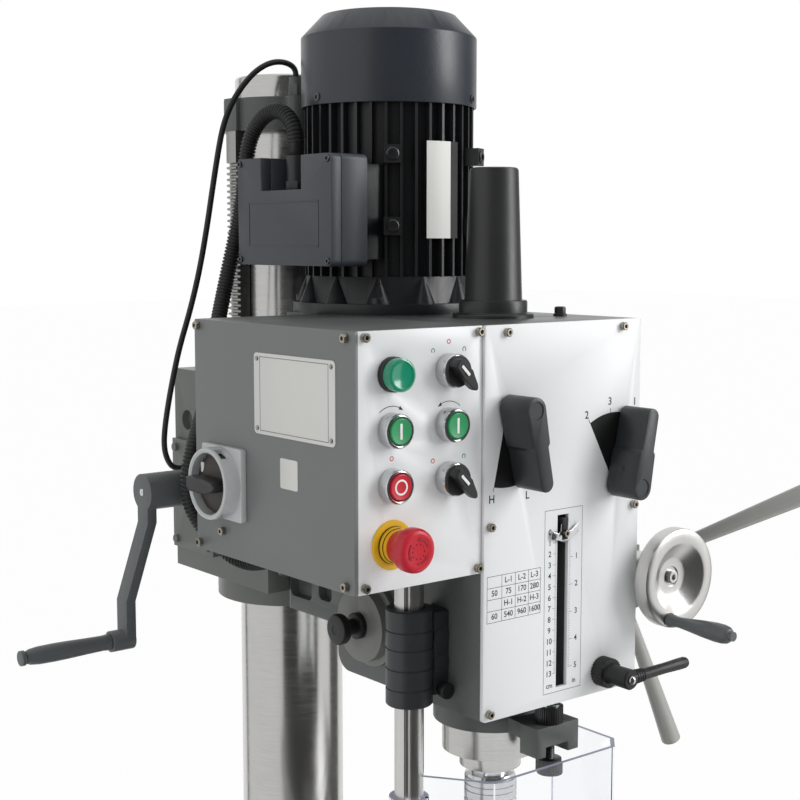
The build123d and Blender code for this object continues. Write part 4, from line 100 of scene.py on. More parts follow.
bpy.ops.object.select_all(action="DESELECT")
bpy.ops.object.camera_add(
    location=CAMERA_PLACE,
    rotation=(math.radians(CAMERA_TILT), 0, math.radians(CAMERA_TURN)),
)
camera = bpy.context.object
camera.name = "photo_camera"
camera.data.lens = CAMERA_LENS
camera.data.sensor_width = SENSOR
bpy.context.scene.camera = camera
bpy.context.scene.view_settings.view_transform = "Standard"
print("camera", [round(v, 3) for v in camera.location])

# %% [markdown]
# Two cords belong to the head: a ribbed conduit from the motor's terminal box round to the switch
# box, and a thin control cable from the column's collar down to the lift gear's cover. Each follows
# one smooth NURBS line. The line is read back as points, and rings of vertices are strung along it.
# Rings are the simplest way to give the conduit its ribs, because only their radius has to change.

# %% Cord tools
LINE_STEPS = 14


def route_line(route):
    """Points read from one smooth NURBS spline whose control points are a route in head millimetres."""
    data = bpy.data.curves.new("route", "CURVE")
    data.dimensions = "3D"
    data.resolution_u = LINE_STEPS
    spline = data.splines.new("NURBS")
    spline.points.add(len(route) - 1)
    for point, place in zip(spline.points, route):
        point.co = (*at_head(*place), 1)
    spline.order_u = 3
    spline.use_endpoint_u = True
    holder = bpy.data.objects.new("route", data)
    bpy.context.scene.collection.objects.link(holder)
    graph = bpy.context.evaluated_depsgraph_get()
    line = bpy.data.meshes.new_from_object(holder.evaluated_get(graph))
    points = [vertex.co.copy() for vertex in line.vertices]
    bpy.data.objects.remove(holder)
    bpy.data.meshes.remove(line)
    return points


def line_length(points):
    """The length of a line of points."""
    return sum((b - a).length for a, b in zip(points, points[1:]))


def ringed_tube(name, points, stations, sides):
    """A closed tube along a line: one ring of vertices at each (distance, radius) station."""
    places = []
    ways = []
    walked = 0.0
    step = 0
    for distance, radius in stations:
        while step < len(points) - 2 and walked + (points[step + 1] - points[step]).length < distance:
            walked += (points[step + 1] - points[step]).length
            step += 1
        way = (points[step + 1] - points[step]).normalized()
        places.append((points[step] + way * (distance - walked), radius))
        ways.append(way)
    across = ways[0].orthogonal().normalized()
    vertices = []
    for (place, radius), way in zip(places, ways):
        across = (across - way * across.dot(way)).normalized()
        beside = way.cross(across)
        for side in range(sides):
            angle = math.tau * side / sides
            vertices.append(place + (across * math.cos(angle) + beside * math.sin(angle)) * radius)
    faces = []
    for ring in range(len(places) - 1):
        for side in range(sides):
            after = (side + 1) % sides
            low, high = ring * sides, (ring + 1) * sides
            faces.append((low + side, low + after, high + after, high + side))
    faces.append(tuple(reversed(range(sides))))
    faces.append(tuple(range(len(vertices) - sides, len(vertices))))
    mesh = bpy.data.meshes.new(name)
    mesh.from_pydata(vertices, [], faces)
    tube = bpy.data.objects.new(name, mesh)
    bpy.context.scene.collection.objects.link(tube)
    return tube


print("cord lines have", LINE_STEPS, "steps between control points")

# %% Motor conduit
CONDUIT_ROUTE = (
    (-103, 270, 500), (-103, 270, 514), (-103, 274, 530), (-104, 288, 543), (-105, 308, 546),
    (-107, 328, 538), (-109, 342, 522), (-110, 349, 500), (-112, 352, 470), (-117, 354, 436),
    (-126, 354, 402), (-138, 350, 366), (-152, 340, 334), (-168, 324, 304), (-185, 304, 276),
    (-204, 286, 248), (-221, 274, 222), (-229.5, 270, 197), (-228, 270, 172), (-219, 269, 152),
    (-206, 264, 134), (-196, 250, 120), (-189, 230, 115), (-186, 209, 119.5), (-186, 188, 126),
)
CONDUIT_R = 8.0 * MM
CONDUIT_VALLEY = 6.3 * MM
CONDUIT_PLAIN = 12 * MM
RIB_PITCH = 3.6 * MM
RIB_SHAPE = ((0.0, 0.0), (0.14, 0.75), (0.26, 1.0), (0.52, 1.0), (0.64, 0.75), (0.78, 0.0))

conduit_line = route_line(CONDUIT_ROUTE)
conduit_length = line_length(conduit_line)
rib_count = int((conduit_length - 2 * CONDUIT_PLAIN) / RIB_PITCH)
rib_pitch = (conduit_length - 2 * CONDUIT_PLAIN) / rib_count
stations = [(0.0, CONDUIT_R)]
for rib in range(rib_count):
    for share, swell in RIB_SHAPE:
        reach = CONDUIT_PLAIN + (rib + share) * rib_pitch
        stations.append((reach, CONDUIT_VALLEY + (CONDUIT_R - CONDUIT_VALLEY) * swell))
stations.append((conduit_length - CONDUIT_PLAIN, CONDUIT_VALLEY))
stations.append((conduit_length, CONDUIT_R))
motor_hose = ringed_tube("motor_hose", conduit_line, stations, 22)
print("conduit", round(conduit_length * 1000), "mm,", rib_count, "ribs")

# %% Control cable
CABLE_ROUTE = (
    (-29.9, 375.5, 589), (-29.9, 375.5, 595), (-35, 375.2, 601), (-48, 374.5, 603.8),
    (-64, 373.5, 601.5), (-82, 372.3, 592), (-98, 371.2, 577), (-111, 371, 560),
    (-120, 371.3, 542), (-126, 372, 522),
    (-133, 375, 478), (-139, 379, 432), (-146, 384, 386), (-155, 389, 345), (-164, 395, 310),
    (-167, 405, 276), (-166.5, 418, 244), (-165.5, 427, 219), (-164, 431.5, 201), (-160, 432.7, 187),
    (-152, 433, 176), (-140, 433, 176),
)
CABLE_R = 3.0 * MM
CABLE_STEP = 3 * MM

cable_line = route_line(CABLE_ROUTE)
cable_length = line_length(cable_line)
cable_rings = int(cable_length / CABLE_STEP)
stations = [(cable_length * ring / cable_rings, CABLE_R) for ring in range(cable_rings + 1)]
thin_cable = ringed_tube("thin_cable", cable_line, stations, 16)
print("cable", round(cable_length * 1000), "mm")

# %% [markdown]
# Most small parts of a machine are either turned on a lathe or cut to an outline and given a
# thickness. So two helpers do most of the modelling: one draws half a section and spins it round an
# axis, and one draws an outline and extrudes it. Both leave the finished piece at the origin with its
# place in its mesh, as the CAD parts have.

# %% Selecting and cleaning
JOIN = 0.005 * MM
SHARP = 32


def only(*pieces):
    """Selects these pieces and nothing else, the first one active."""
    bpy.ops.object.select_all(action="DESELECT")
    for piece in pieces:
        piece.select_set(True)
    bpy.context.view_layer.objects.active = pieces[0]


def clean():
    """Merges doubles and turns the faces outwards, then leaves edit mode."""
    bpy.ops.mesh.select_all(action="SELECT")
    bpy.ops.mesh.remove_doubles(threshold=JOIN)
    bpy.ops.mesh.normals_make_consistent(inside=False)
    bpy.ops.object.mode_set(mode="OBJECT")


def lowered(piece, wanted, drop):
    """Presses the vertices whose place passes a test down by a number of millimetres."""
    only(piece)
    bpy.ops.object.mode_set(mode="EDIT")
    bpy.ops.mesh.select_all(action="DESELECT")
    bpy.ops.object.mode_set(mode="OBJECT")
    for vertex in piece.data.vertices:
        vertex.select = wanted(vertex.co)
    bpy.ops.object.mode_set(mode="EDIT")
    bpy.ops.transform.translate(value=(0, 0, -drop * MM))
    bpy.ops.object.mode_set(mode="OBJECT")
    return piece


def ease(piece, width, sides=2):
    """Rounds the sharp edges of a piece by a width in millimetres."""
    only(piece)
    rounding = piece.modifiers.new("rounding", "BEVEL")
    rounding.width = width * MM
    rounding.segments = sides
    rounding.limit_method = "ANGLE"
    rounding.angle_limit = math.radians(SHARP)
    bpy.ops.object.modifier_apply(modifier=rounding.name)
    return piece


def turn_of(*turns):
    """One turn made of several, each a number of degrees and an axis."""
    whole = Matrix.Identity(4)
    for degrees, axis in turns:
        whole = whole @ Matrix.Rotation(math.radians(degrees), 4, axis)
    return whole


FACING = {
    "up": turn_of(),
    "down": turn_of((180, "X")),
    "front": turn_of((90, "X")),
    "left": turn_of((-90, "Z"), (90, "X")),
    "right": turn_of((90, "Z"), (90, "X")),
}
CREASE = 35


def placed(piece, place, facing, crease=CREASE):
    """Turns and moves a piece, puts that into its mesh, and smooths its soft edges."""
    only(piece)
    turn = FACING[facing] if isinstance(facing, str) else facing
    piece.matrix_world = Matrix.Translation(place) @ turn
    bpy.ops.object.transform_apply(location=True, rotation=True, scale=True)
    bpy.ops.object.shade_smooth_by_angle(angle=math.radians(crease))
    return piece


print("ways to face:", ", ".join(FACING))

# %% Drawing, turning and cutting out


def draw_line(name, points):
    """A chain of edges through points in millimetres, left in edit mode."""
    bpy.ops.object.select_all(action="DESELECT")
    bpy.ops.mesh.primitive_plane_add(size=MM)
    piece = bpy.context.object
    piece.name = name
    bpy.ops.object.mode_set(mode="EDIT")
    bpy.ops.mesh.merge(type="CENTER")
    corners = [Vector(point) * MM for point in points]
    bpy.ops.transform.translate(value=corners[0])
    for start, end in zip(corners, corners[1:]):
        bpy.ops.mesh.extrude_vertices_move(TRANSFORM_OT_translate={"value": tuple(end - start)})
    return piece


def turned(name, profile, place=ORIGIN, facing="up", sides=56, crease=CREASE):
    """A lathe-turned piece: (radius, height) points in millimetres, spun about its own axis."""
    piece = draw_line(name, [(radius, 0, height) for radius, height in profile])
    bpy.ops.mesh.select_all(action="SELECT")
    bpy.ops.mesh.spin(steps=sides, angle=math.tau, center=(0, 0, 0), axis=(0, 0, 1))
    clean()
    return placed(piece, place, facing, crease)


def outlined(name, outline, depth, place=ORIGIN, facing="front", edge=0.0):
    """An outline of (x, y) points in millimetres, thickened towards the side it faces."""
    loop = [(x, y, 0) for x, y in outline]
    piece = draw_line(name, loop + loop[:1])
    bpy.ops.mesh.select_all(action="SELECT")
    bpy.ops.mesh.remove_doubles(threshold=JOIN)
    bpy.ops.mesh.edge_face_add()
    bpy.ops.mesh.extrude_region_move(TRANSFORM_OT_translate={"value": (0, 0, depth * MM)})
    clean()
    if edge:
        ease(piece, edge)
    return placed(piece, place, facing)


def boxed(name, low, high, edge=0.0):
    """A block between two corners in head millimetres."""
    start, end = at_head(*low), at_head(*high)
    bpy.ops.object.select_all(action="DESELECT")
    bpy.ops.mesh.primitive_cube_add(size=1)
    piece = bpy.context.object
    piece.name = name
    piece.scale = end - start
    piece.location = (start + end) / 2
    bpy.ops.object.transform_apply(location=True, rotation=True, scale=True)
    if edge:
        ease(piece, edge)
        bpy.ops.object.shade_smooth_by_angle(angle=math.radians(CREASE))
    return piece


def joined(name, pieces):
    """Several pieces as one object."""
    only(*pieces)
    bpy.ops.object.join()
    piece = bpy.context.object
    piece.name = name
    return piece


def copies(name, master, places, facing):
    """Copies of a small piece that was made at the origin, joined as one object."""
    made = []
    for place in places:
        only(master)
        bpy.ops.object.duplicate()
        made.append(placed(bpy.context.object, place, facing))
    return joined(name, made)


def cut(piece, tool):
    """Cuts a tool's shape out of a piece and takes the tool away."""
    only(piece)
    hole = piece.modifiers.new("hole", "BOOLEAN")
    hole.operation = "DIFFERENCE"
    hole.object = tool
    bpy.ops.object.modifier_apply(modifier=hole.name)
    bpy.data.objects.remove(tool)
    return piece


def dropped(piece):
    """Takes away a master shape whose copies are all made."""
    bpy.data.objects.remove(piece)


print("shaping tools ready")

# %% Arcs and rounded corners
CORNER_STEPS = 5


def spot_at(radius, angle, centre=(0, 0)):
    """The point at a radius and an angle in degrees."""
    way = math.radians(angle)
    return (centre[0] + radius * math.cos(way), centre[1] + radius * math.sin(way))


def arc(radius, start, end, steps=10, centre=(0, 0)):
    """Points along an arc, its angles in degrees."""
    return [spot_at(radius, start + (end - start) * step / steps, centre) for step in range(steps + 1)]


def band(inner, outer, start, end, steps=14, centre=(0, 0)):
    """The outline of a piece of a flat ring."""
    return arc(outer, start, end, steps, centre) + arc(inner, end, start, steps, centre)


def arrow_tip(radius, half, angle, point, centre=(0, 0)):
    """The pointed end of a curved arrow: its half width, where it starts and where it points."""
    return [spot_at(radius + half, angle, centre), spot_at(radius, point, centre),
            spot_at(radius - half, angle, centre)]


def rounded(width, height, radius):
    """A rectangle about the origin with round corners."""
    x, y = width / 2 - radius, height / 2 - radius
    outline = []
    for middle, start in (((x, y), 0), ((-x, y), 90), ((-x, -y), 180), ((x, -y), 270)):
        outline += arc(radius, start, start + 90, CORNER_STEPS, middle)
    return outline


print("corner points of a rounded plate:", len(rounded(20, 10, 2)))

# %% [markdown]
# ## Finishes
# Every finish is made of nodes that read Object coordinates, so a pattern keeps its real size on
# every piece. Three effects come back in many finishes and are node groups: a skin that mottles a
# colour and gives it orange peel or moulded grain, a mask of worn edges, and the fine lines that a
# lathe or a brush leaves on metal.

# %% Node tools


def linear(red, green, blue):
    """A colour as a screen shows it, 0 to 255, in the linear light that shaders use."""
    shares = [value / 255 for value in (red, green, blue)]
    light = [s / 12.92 if s <= 0.04045 else ((s + 0.055) / 1.055) ** 2.4 for s in shares]
    return (*light, 1.0)


def new_group(name, inputs, outputs):
    """An empty shader node group with named sockets, and its two end nodes."""
    group = bpy.data.node_groups.new(name, "ShaderNodeTree")
    for label, kind, value in inputs:
        socket = group.interface.new_socket(label, in_out="INPUT", socket_type="NodeSocket" + kind)
        socket.default_value = value
    for label, kind in outputs:
        group.interface.new_socket(label, in_out="OUTPUT", socket_type="NodeSocket" + kind)
    return group, group.nodes.new("NodeGroupInput"), group.nodes.new("NodeGroupOutput")


def add(tree, kind, values=(), **settings):
    """A node with its settings and its constant inputs."""
    node = tree.nodes.new("ShaderNode" + kind)
    for key, value in settings.items():
        setattr(node, key, value)
    for key, value in dict(values).items():
        node.inputs[key].default_value = value
    return node


def noise(tree, coordinates, scale, detail):
    """A noise texture on these coordinates."""
    texture = add(tree, "TexNoise", {"Scale": scale, "Detail": detail})
    tree.links.new(coordinates, texture.inputs["Vector"])
    return texture.outputs["Fac"]


def sums(tree, operation, first, second, third=None):
    """A math node on sockets or plain numbers."""
    node = add(tree, "Math", operation=operation)
    for place, value in enumerate((first, second, third)):
        if isinstance(value, bpy.types.NodeSocket):
            tree.links.new(value, node.inputs[place])
        elif value is not None:
            node.inputs[place].default_value = value
    return node.outputs[0]


def new_finish(name):
    """A new material with its node tree and its shader."""
    finish = bpy.data.materials.new(name)
    finish.use_nodes = True
    return finish, finish.node_tree, finish.node_tree.nodes["Principled BSDF"]


def mixed(tree, share, first, second):
    """Sends two shaders, mixed by a share, to the material's output."""
    mixer = add(tree, "MixShader")
    tree.links.new(share, mixer.inputs["Fac"])
    tree.links.new(first.outputs[0], mixer.inputs[1])
    tree.links.new(second.outputs[0], mixer.inputs[2])
    tree.links.new(mixer.outputs[0], tree.nodes["Material Output"].inputs["Surface"])


print("mid grey in linear light:", round(linear(128, 128, 128)[0], 3))

# %% Skin: mottle and grain
group, start, end = new_group(
    "Skin",
    [("Color", "Color", (0.5, 0.5, 0.5, 1)), ("Mottle", "Float", 0.1), ("Roughness", "Float", 0.4),
     ("Grain", "Float", 600.0), ("Depth", "Float", 0.1)],
    [("Color", "Color"), ("Roughness", "Float"), ("Normal", "Vector")],
)
where = add(group, "TexCoord").outputs["Object"]
clouds = noise(group, where, 14.0, 3.0)
dust = noise(group, where, 160.0, 2.0)
grain_texture = add(group, "TexNoise", {"Detail": 2.0})
group.links.new(where, grain_texture.inputs["Vector"])
group.links.new(start.outputs["Grain"], grain_texture.inputs["Scale"])
grain = grain_texture.outputs["Fac"]
drift = sums(group, "SUBTRACT", sums(group, "ADD", clouds, sums(group, "MULTIPLY", dust, 0.5)), 0.75)
shade = sums(group, "MULTIPLY_ADD", drift, start.outputs["Mottle"], 1.0)
tone = add(group, "VectorMath", operation="SCALE")
group.links.new(start.outputs["Color"], tone.inputs[0])
group.links.new(shade, tone.inputs["Scale"])
group.links.new(tone.outputs[0], end.inputs["Color"])
sheen = sums(group, "MULTIPLY_ADD", drift, 0.16, start.outputs["Roughness"])
sheen = sums(group, "MULTIPLY_ADD", sums(group, "SUBTRACT", grain, 0.5), 0.10, sheen)
group.links.new(sheen, end.inputs["Roughness"])
peel = add(group, "Bump", {"Distance": 0.4 * MM})
group.links.new(start.outputs["Depth"], peel.inputs["Strength"])
group.links.new(grain, peel.inputs["Height"])
group.links.new(peel.outputs["Normal"], end.inputs["Normal"])
skin_group = group
print("group", skin_group.name)

# %% Worn edges
group, start, end = new_group(
    "Worn edges",
    [("Width", "Float", 1.0 * MM), ("Amount", "Float", 0.6)],
    [("Mask", "Float")],
)
soft_normal = add(group, "Bevel", samples=6)
group.links.new(start.outputs["Width"], soft_normal.inputs["Radius"])
shape = add(group, "NewGeometry")
likeness = add(group, "VectorMath", operation="DOT_PRODUCT")
group.links.new(soft_normal.outputs["Normal"], likeness.inputs[0])
group.links.new(shape.outputs["True Normal"], likeness.inputs[1])
edge = add(group, "MapRange", {"From Min": 0.985, "From Max": 0.88, "To Min": 0.0, "To Max": 1.0})
group.links.new(likeness.outputs["Value"], edge.inputs["Value"])
where = add(group, "TexCoord").outputs["Object"]
chips = add(group, "MapRange", {"From Min": 0.38, "From Max": 0.62, "To Min": 0.25, "To Max": 1.0})
group.links.new(noise(group, where, 130.0, 4.0), chips.inputs["Value"])
worn = sums(group, "MULTIPLY", edge.outputs["Result"], chips.outputs["Result"])
group.links.new(sums(group, "MULTIPLY", worn, start.outputs["Amount"]), end.inputs["Mask"])
wear_group = group
print("group", wear_group.name)

# %% Tool marks on metal
group, start, end = new_group(
    "Tool marks",
    [("Color", "Color", (0.6, 0.6, 0.6, 1)), ("Roughness", "Float", 0.25),
     ("Stretch", "Vector", (1.0, 1.0, 1.0)), ("Depth", "Float", 0.1)],
    [("Color", "Color"), ("Roughness", "Float"), ("Normal", "Vector")],
)
where = add(group, "TexCoord").outputs["Object"]
stretched = add(group, "VectorMath", operation="MULTIPLY")
group.links.new(where, stretched.inputs[0])
group.links.new(start.outputs["Stretch"], stretched.inputs[1])
lines = noise(group, stretched.outputs[0], 900.0, 4.0)
stains = noise(group, where, 22.0, 3.0)
shade = sums(group, "MULTIPLY_ADD", sums(group, "SUBTRACT", lines, 0.5), 0.20, 1.0)
shade = sums(group, "MULTIPLY_ADD", sums(group, "SUBTRACT", stains, 0.5), 0.14, shade)
tone = add(group, "VectorMath", operation="SCALE")
group.links.new(start.outputs["Color"], tone.inputs[0])
group.links.new(shade, tone.inputs["Scale"])
group.links.new(tone.outputs[0], end.inputs["Color"])
sheen = sums(group, "MULTIPLY_ADD", sums(group, "SUBTRACT", lines, 0.5), 0.22, start.outputs["Roughness"])
sheen = sums(group, "MULTIPLY_ADD", sums(group, "SUBTRACT", stains, 0.5), 0.12, sheen)
group.links.new(sheen, end.inputs["Roughness"])
scratch = add(group, "Bump", {"Distance": 0.15 * MM})
group.links.new(start.outputs["Depth"], scratch.inputs["Strength"])
group.links.new(lines, scratch.inputs["Height"])
group.links.new(scratch.outputs["Normal"], end.inputs["Normal"])
marks_group = group
print("group", marks_group.name)

# %% [markdown]
# A coat of paint, a moulded plastic and a bare metal differ in few things: colour, gloss, grain and
# what shows where an edge has worn. Two functions make them all. Worn paint shows paler metal, and
# rubbed plastic only turns a little lighter, so the worn colour is given with each finish.

# %% Coats and metals


def coat(name, colour, roughness, mottle, grain, depth, worn=None, width=0.0, amount=0.0, clear=0.0):
    """Paint or plastic: a mottled skin, with a second colour along worn edges."""
    finish, tree, shader = new_finish(name)
    shader.inputs["Coat Weight"].default_value = clear
    shader.inputs["Coat Roughness"].default_value = 0.12
    skin = add(tree, "Group", node_tree=skin_group)
    for key, value in (("Color", colour), ("Mottle", mottle), ("Roughness", roughness),
                       ("Grain", grain), ("Depth", depth)):
        skin.inputs[key].default_value = value
    tree.links.new(skin.outputs["Roughness"], shader.inputs["Roughness"])
    tree.links.new(skin.outputs["Normal"], shader.inputs["Normal"])
    if worn is None:
        tree.links.new(skin.outputs["Color"], shader.inputs["Base Color"])
    else:
        mask = add(tree, "Group", node_tree=wear_group)
        mask.inputs["Width"].default_value = width * MM
        mask.inputs["Amount"].default_value = amount
        blend = add(tree, "Mix", data_type="RGBA")
        blend.inputs["B"].default_value = worn
        tree.links.new(mask.outputs["Mask"], blend.inputs["Factor"])
        tree.links.new(skin.outputs["Color"], blend.inputs["A"])
        tree.links.new(blend.outputs["Result"], shader.inputs["Base Color"])
    return finish


def metal(name, colour, roughness, stretch, depth):
    """Bare metal with tool marks, which run along the axis that is stretched least."""
    finish, tree, shader = new_finish(name)
    shader.inputs["Metallic"].default_value = 1.0
    marks = add(tree, "Group", node_tree=marks_group)
    for key, value in (("Color", colour), ("Roughness", roughness), ("Stretch", stretch),
                       ("Depth", depth)):
        marks.inputs[key].default_value = value
    tree.links.new(marks.outputs["Color"], shader.inputs["Base Color"])
    tree.links.new(marks.outputs["Roughness"], shader.inputs["Roughness"])
    tree.links.new(marks.outputs["Normal"], shader.inputs["Normal"])
    return finish


print("groups in the finishes:", skin_group.name, "/", wear_group.name, "/", marks_group.name)

# %% The machine's finishes
# A coat is given by its colour, roughness, mottle, grain and grain depth, and then the colour, width
# and amount of its worn edges. A metal is given by its colour, roughness, stretch and mark depth.
AROUND_Z = (0.04, 0.04, 1.0)
ALONG_X = (0.03, 1.0, 1.0)
ALONG_Z = (1.0, 1.0, 0.03)
finishes = {
    "casting_paint": coat("casting grey", linear(84, 88, 86), 0.36, 0.16, 420.0, 0.22,
                          linear(126, 128, 124), 1.2, 0.35),
    "cover_paint": coat("cover grey", linear(116, 118, 118), 0.42, 0.07, 900.0, 0.10,
                        linear(150, 151, 150), 0.8, 0.4),
    "panel_white": coat("panel white", linear(229, 231, 232), 0.34, 0.03, 700.0, 0.05,
                        linear(196, 196, 192), 0.6, 0.4),
    "motor_black": coat("motor black", linear(31, 33, 36), 0.40, 0.22, 520.0, 0.20,
                        linear(74, 75, 77), 0.7, 0.5),
    "crank_paint": coat("crank grey", linear(88, 92, 93), 0.40, 0.12, 500.0, 0.16,
                        linear(150, 152, 152), 1.2, 0.6),
    "lever_paint": coat("lever grey", linear(176, 176, 172), 0.34, 0.06, 500.0, 0.08),
    "black_plastic": coat("black plastic", linear(27, 27, 28), 0.46, 0.20, 850.0, 0.18,
                          linear(58, 58, 59), 0.6, 0.5),
    "grey_plastic": coat("grey plastic", linear(203, 205, 204), 0.40, 0.05, 800.0, 0.10),
    "green_plastic": coat("green plastic", linear(44, 148, 92), 0.34, 0.06, 700.0, 0.06),
    "red_plastic": coat("red plastic", linear(196, 22, 44), 0.34, 0.08, 700.0, 0.06),
    "yellow_plastic": coat("yellow plastic", linear(226, 178, 30), 0.38, 0.08, 700.0, 0.06),
    "cord_black": coat("cord black", linear(26, 26, 28), 0.52, 0.20, 900.0, 0.12,
                       linear(60, 61, 64), 0.5, 0.5),
    "bright_steel": metal("bright steel", (0.54, 0.535, 0.52, 1), 0.20, AROUND_Z, 0.06),
    "dark_steel": metal("dark steel", (0.10, 0.10, 0.105, 1), 0.36, AROUND_Z, 0.08),
    "screw_steel": metal("screw steel", (0.37, 0.345, 0.29, 1), 0.28, AROUND_Z, 0.10),
    "table_iron": metal("table iron", (0.42, 0.42, 0.42, 1), 0.34, ALONG_X, 0.10),
    "bright_aluminium": metal("bright aluminium", (0.62, 0.615, 0.60, 1), 0.34, ALONG_Z, 0.06),
    "chrome_trim": metal("chrome trim", (0.62, 0.63, 0.64, 1), 0.16, AROUND_Z, 0.03),
}
print(len(finishes), "finishes for the record's slots")

# %% Finishes of single pieces
ink_black = coat("ink black", linear(22, 22, 24), 0.6, 0.12, 900.0, 0.05)
ink_grey = coat("ink grey", linear(120, 122, 124), 0.6, 0.10, 900.0, 0.05)
ink_white = coat("ink white", linear(236, 236, 234), 0.5, 0.04, 900.0, 0.05)
ink_red = coat("ink red", linear(196, 60, 66), 0.6, 0.08, 900.0, 0.05)
ink_green = coat("ink green", linear(40, 130, 92), 0.6, 0.08, 900.0, 0.05)
slot_black = coat("slot black", linear(12, 12, 13), 0.6, 0.2, 900.0, 0.05)
lid_grey = coat("lid grey", linear(60, 65, 72), 0.44, 0.14, 700.0, 0.16,
                linear(86, 88, 92), 0.8, 0.5)
lamp_green = coat("lamp green", linear(24, 140, 106), 0.16, 0.06, 500.0, 0.03, clear=0.5)
lever_black = coat("lever black", linear(44, 47, 49), 0.38, 0.2, 800.0, 0.12,
                   linear(72, 74, 76), 0.8, 0.5)
# The fan hood's coat is paler and bluer than the motor's black: a painted bluish sheen.
hood_painted_sheen = coat("hood black with painted sheen", linear(45, 50, 58), 0.34, 0.18, 520.0, 0.16,
                  linear(80, 84, 90), 0.7, 0.5)
case_grey = coat("case grey", linear(118, 120, 115), 0.36, 0.16, 420.0, 0.22,
                 linear(140, 142, 138), 1.2, 0.35)
lift_grey = coat("lift grey", linear(102, 105, 102), 0.36, 0.16, 420.0, 0.22,
                 linear(134, 136, 132), 1.2, 0.35)
switch_silver = coat("switch silver", linear(198, 201, 202), 0.24, 0.05, 800.0, 0.06)
rack_steel = metal("rack steel", (0.34, 0.34, 0.33, 1), 0.32, AROUND_Z, 0.06)
cap_black = coat("cap black", linear(41, 42, 43), 0.40, 0.2, 600.0, 0.14,
                 linear(58, 59, 61), 0.7, 0.5)
box_grey = coat("box grey", linear(93, 97, 96), 0.44, 0.10, 700.0, 0.12,
                linear(136, 138, 136), 0.8, 0.4)
switch_grey = coat("switch grey", linear(196, 198, 199), 0.40, 0.06, 800.0, 0.08)
dish_brown = coat("dish brown", linear(46, 40, 36), 0.5, 0.2, 600.0, 0.1)
label_white = coat("label white", linear(222, 222, 218), 0.38, 0.05, 600.0, 0.06)
moulded_red = coat("moulded red", linear(158, 16, 36), 0.42, 0.08, 700.0, 0.06)
print(len(bpy.data.materials), "materials in all")

# %% [markdown]
# The guard is a bent sheet of clear acrylic. Light passes its faces almost unchanged, and they let
# shadow rays through, so the work behind the guard stays lit. Light also runs along inside the sheet
# and leaves at its sawn edges, which look pale violet. That glow is painted on: the edges get an
# opaque pale violet coat of their own.

# %% Clear guard


def clear_sheet(name, colour, roughness):
    """See-through plastic: glass for the eye, and nearly nothing to the light that casts shadows."""
    finish, tree, shader = new_finish(name)
    shader.inputs["Base Color"].default_value = colour
    shader.inputs["Transmission Weight"].default_value = 1.0
    shader.inputs["IOR"].default_value = 1.33
    where = add(tree, "TexCoord").outputs["Object"]
    wipe = sums(tree, "MULTIPLY_ADD", noise(tree, where, 30.0, 4.0), 0.05, roughness)
    tree.links.new(wipe, shader.inputs["Roughness"])
    clear = add(tree, "BsdfTransparent", {"Color": (0.93, 0.94, 0.95, 1)})
    mixed(tree, add(tree, "LightPath").outputs["Is Shadow Ray"], shader, clear)
    return finish


finishes["clear_plastic"] = clear_sheet("clear sheet", (0.96, 0.97, 0.98, 1), 0.0)
# The edges' coat is a painted glow: the light that runs inside the sheet, painted on as pale violet.
edge_glow_coat = coat("clear sheet edge glow", linear(176, 178, 200), 0.25, 0.05, 500.0, 0.03)

for node in nodes.values():
    for place in node.material_slots:
        place.material = finishes[place.material.name.split(".")[0]]
print("CAD nodes dressed:", len(nodes))

# %% [markdown]
# A piece made here stands for CAD parts. So it hides the parts it replaces, rides on a body and
# takes its finish. The cable hangs between the mast and the head; it only takes its finish, and the
# CAD cable is hidden.

# %% Fitting a piece to the frame


def fit(piece, body, slot, finish, *replaced):
    """Gives a finished piece its body, its finish and the CAD nodes it stands for; the slot is not used.
    """
    piece.data.materials.clear()
    piece.data.materials.append(finish)
    if replaced:
        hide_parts(*replaced)
    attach(piece, body)
    return piece


only(motor_hose, thin_cable)
bpy.ops.object.shade_smooth()
fit(motor_hose, "head", "cord_black", finishes["cord_black"], "motor_conduit")
thin_cable.data.materials.append(finishes["cord_black"])
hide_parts("control_cable")
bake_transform(thin_cable)
print("cords fitted:", motor_hose.name, thin_cable.name)

# %% [markdown]
# ## Castings and sheet metal
# No edge of a real casting or folded sheet is a perfect corner, and the thin light line along an
# edge is what makes it look solid. The CAD shapes are right, so a copy of each is merged, its flat
# facets are joined again, and a small bevel rounds its sharp edges.

# %% Rounded copies of CAD parts
FLAT = 1.0


def softened(name, node, edge):
    """A copy of a CAD node's mesh with its sharp edges rounded by a width in millimetres."""
    piece = bpy.data.objects.new(name, nodes[node].data.copy())
    bpy.context.scene.collection.objects.link(piece)
    only(piece)
    bpy.ops.mesh.customdata_custom_splitnormals_clear()
    bpy.ops.object.mode_set(mode="EDIT")
    bpy.ops.mesh.select_all(action="SELECT")
    bpy.ops.mesh.remove_doubles(threshold=JOIN)
    bpy.ops.mesh.dissolve_limited(angle_limit=math.radians(FLAT))
    bpy.ops.object.mode_set(mode="OBJECT")
    if edge:
        ease(piece, edge)
    bpy.ops.object.shade_smooth_by_angle(angle=math.radians(CREASE))
    return piece


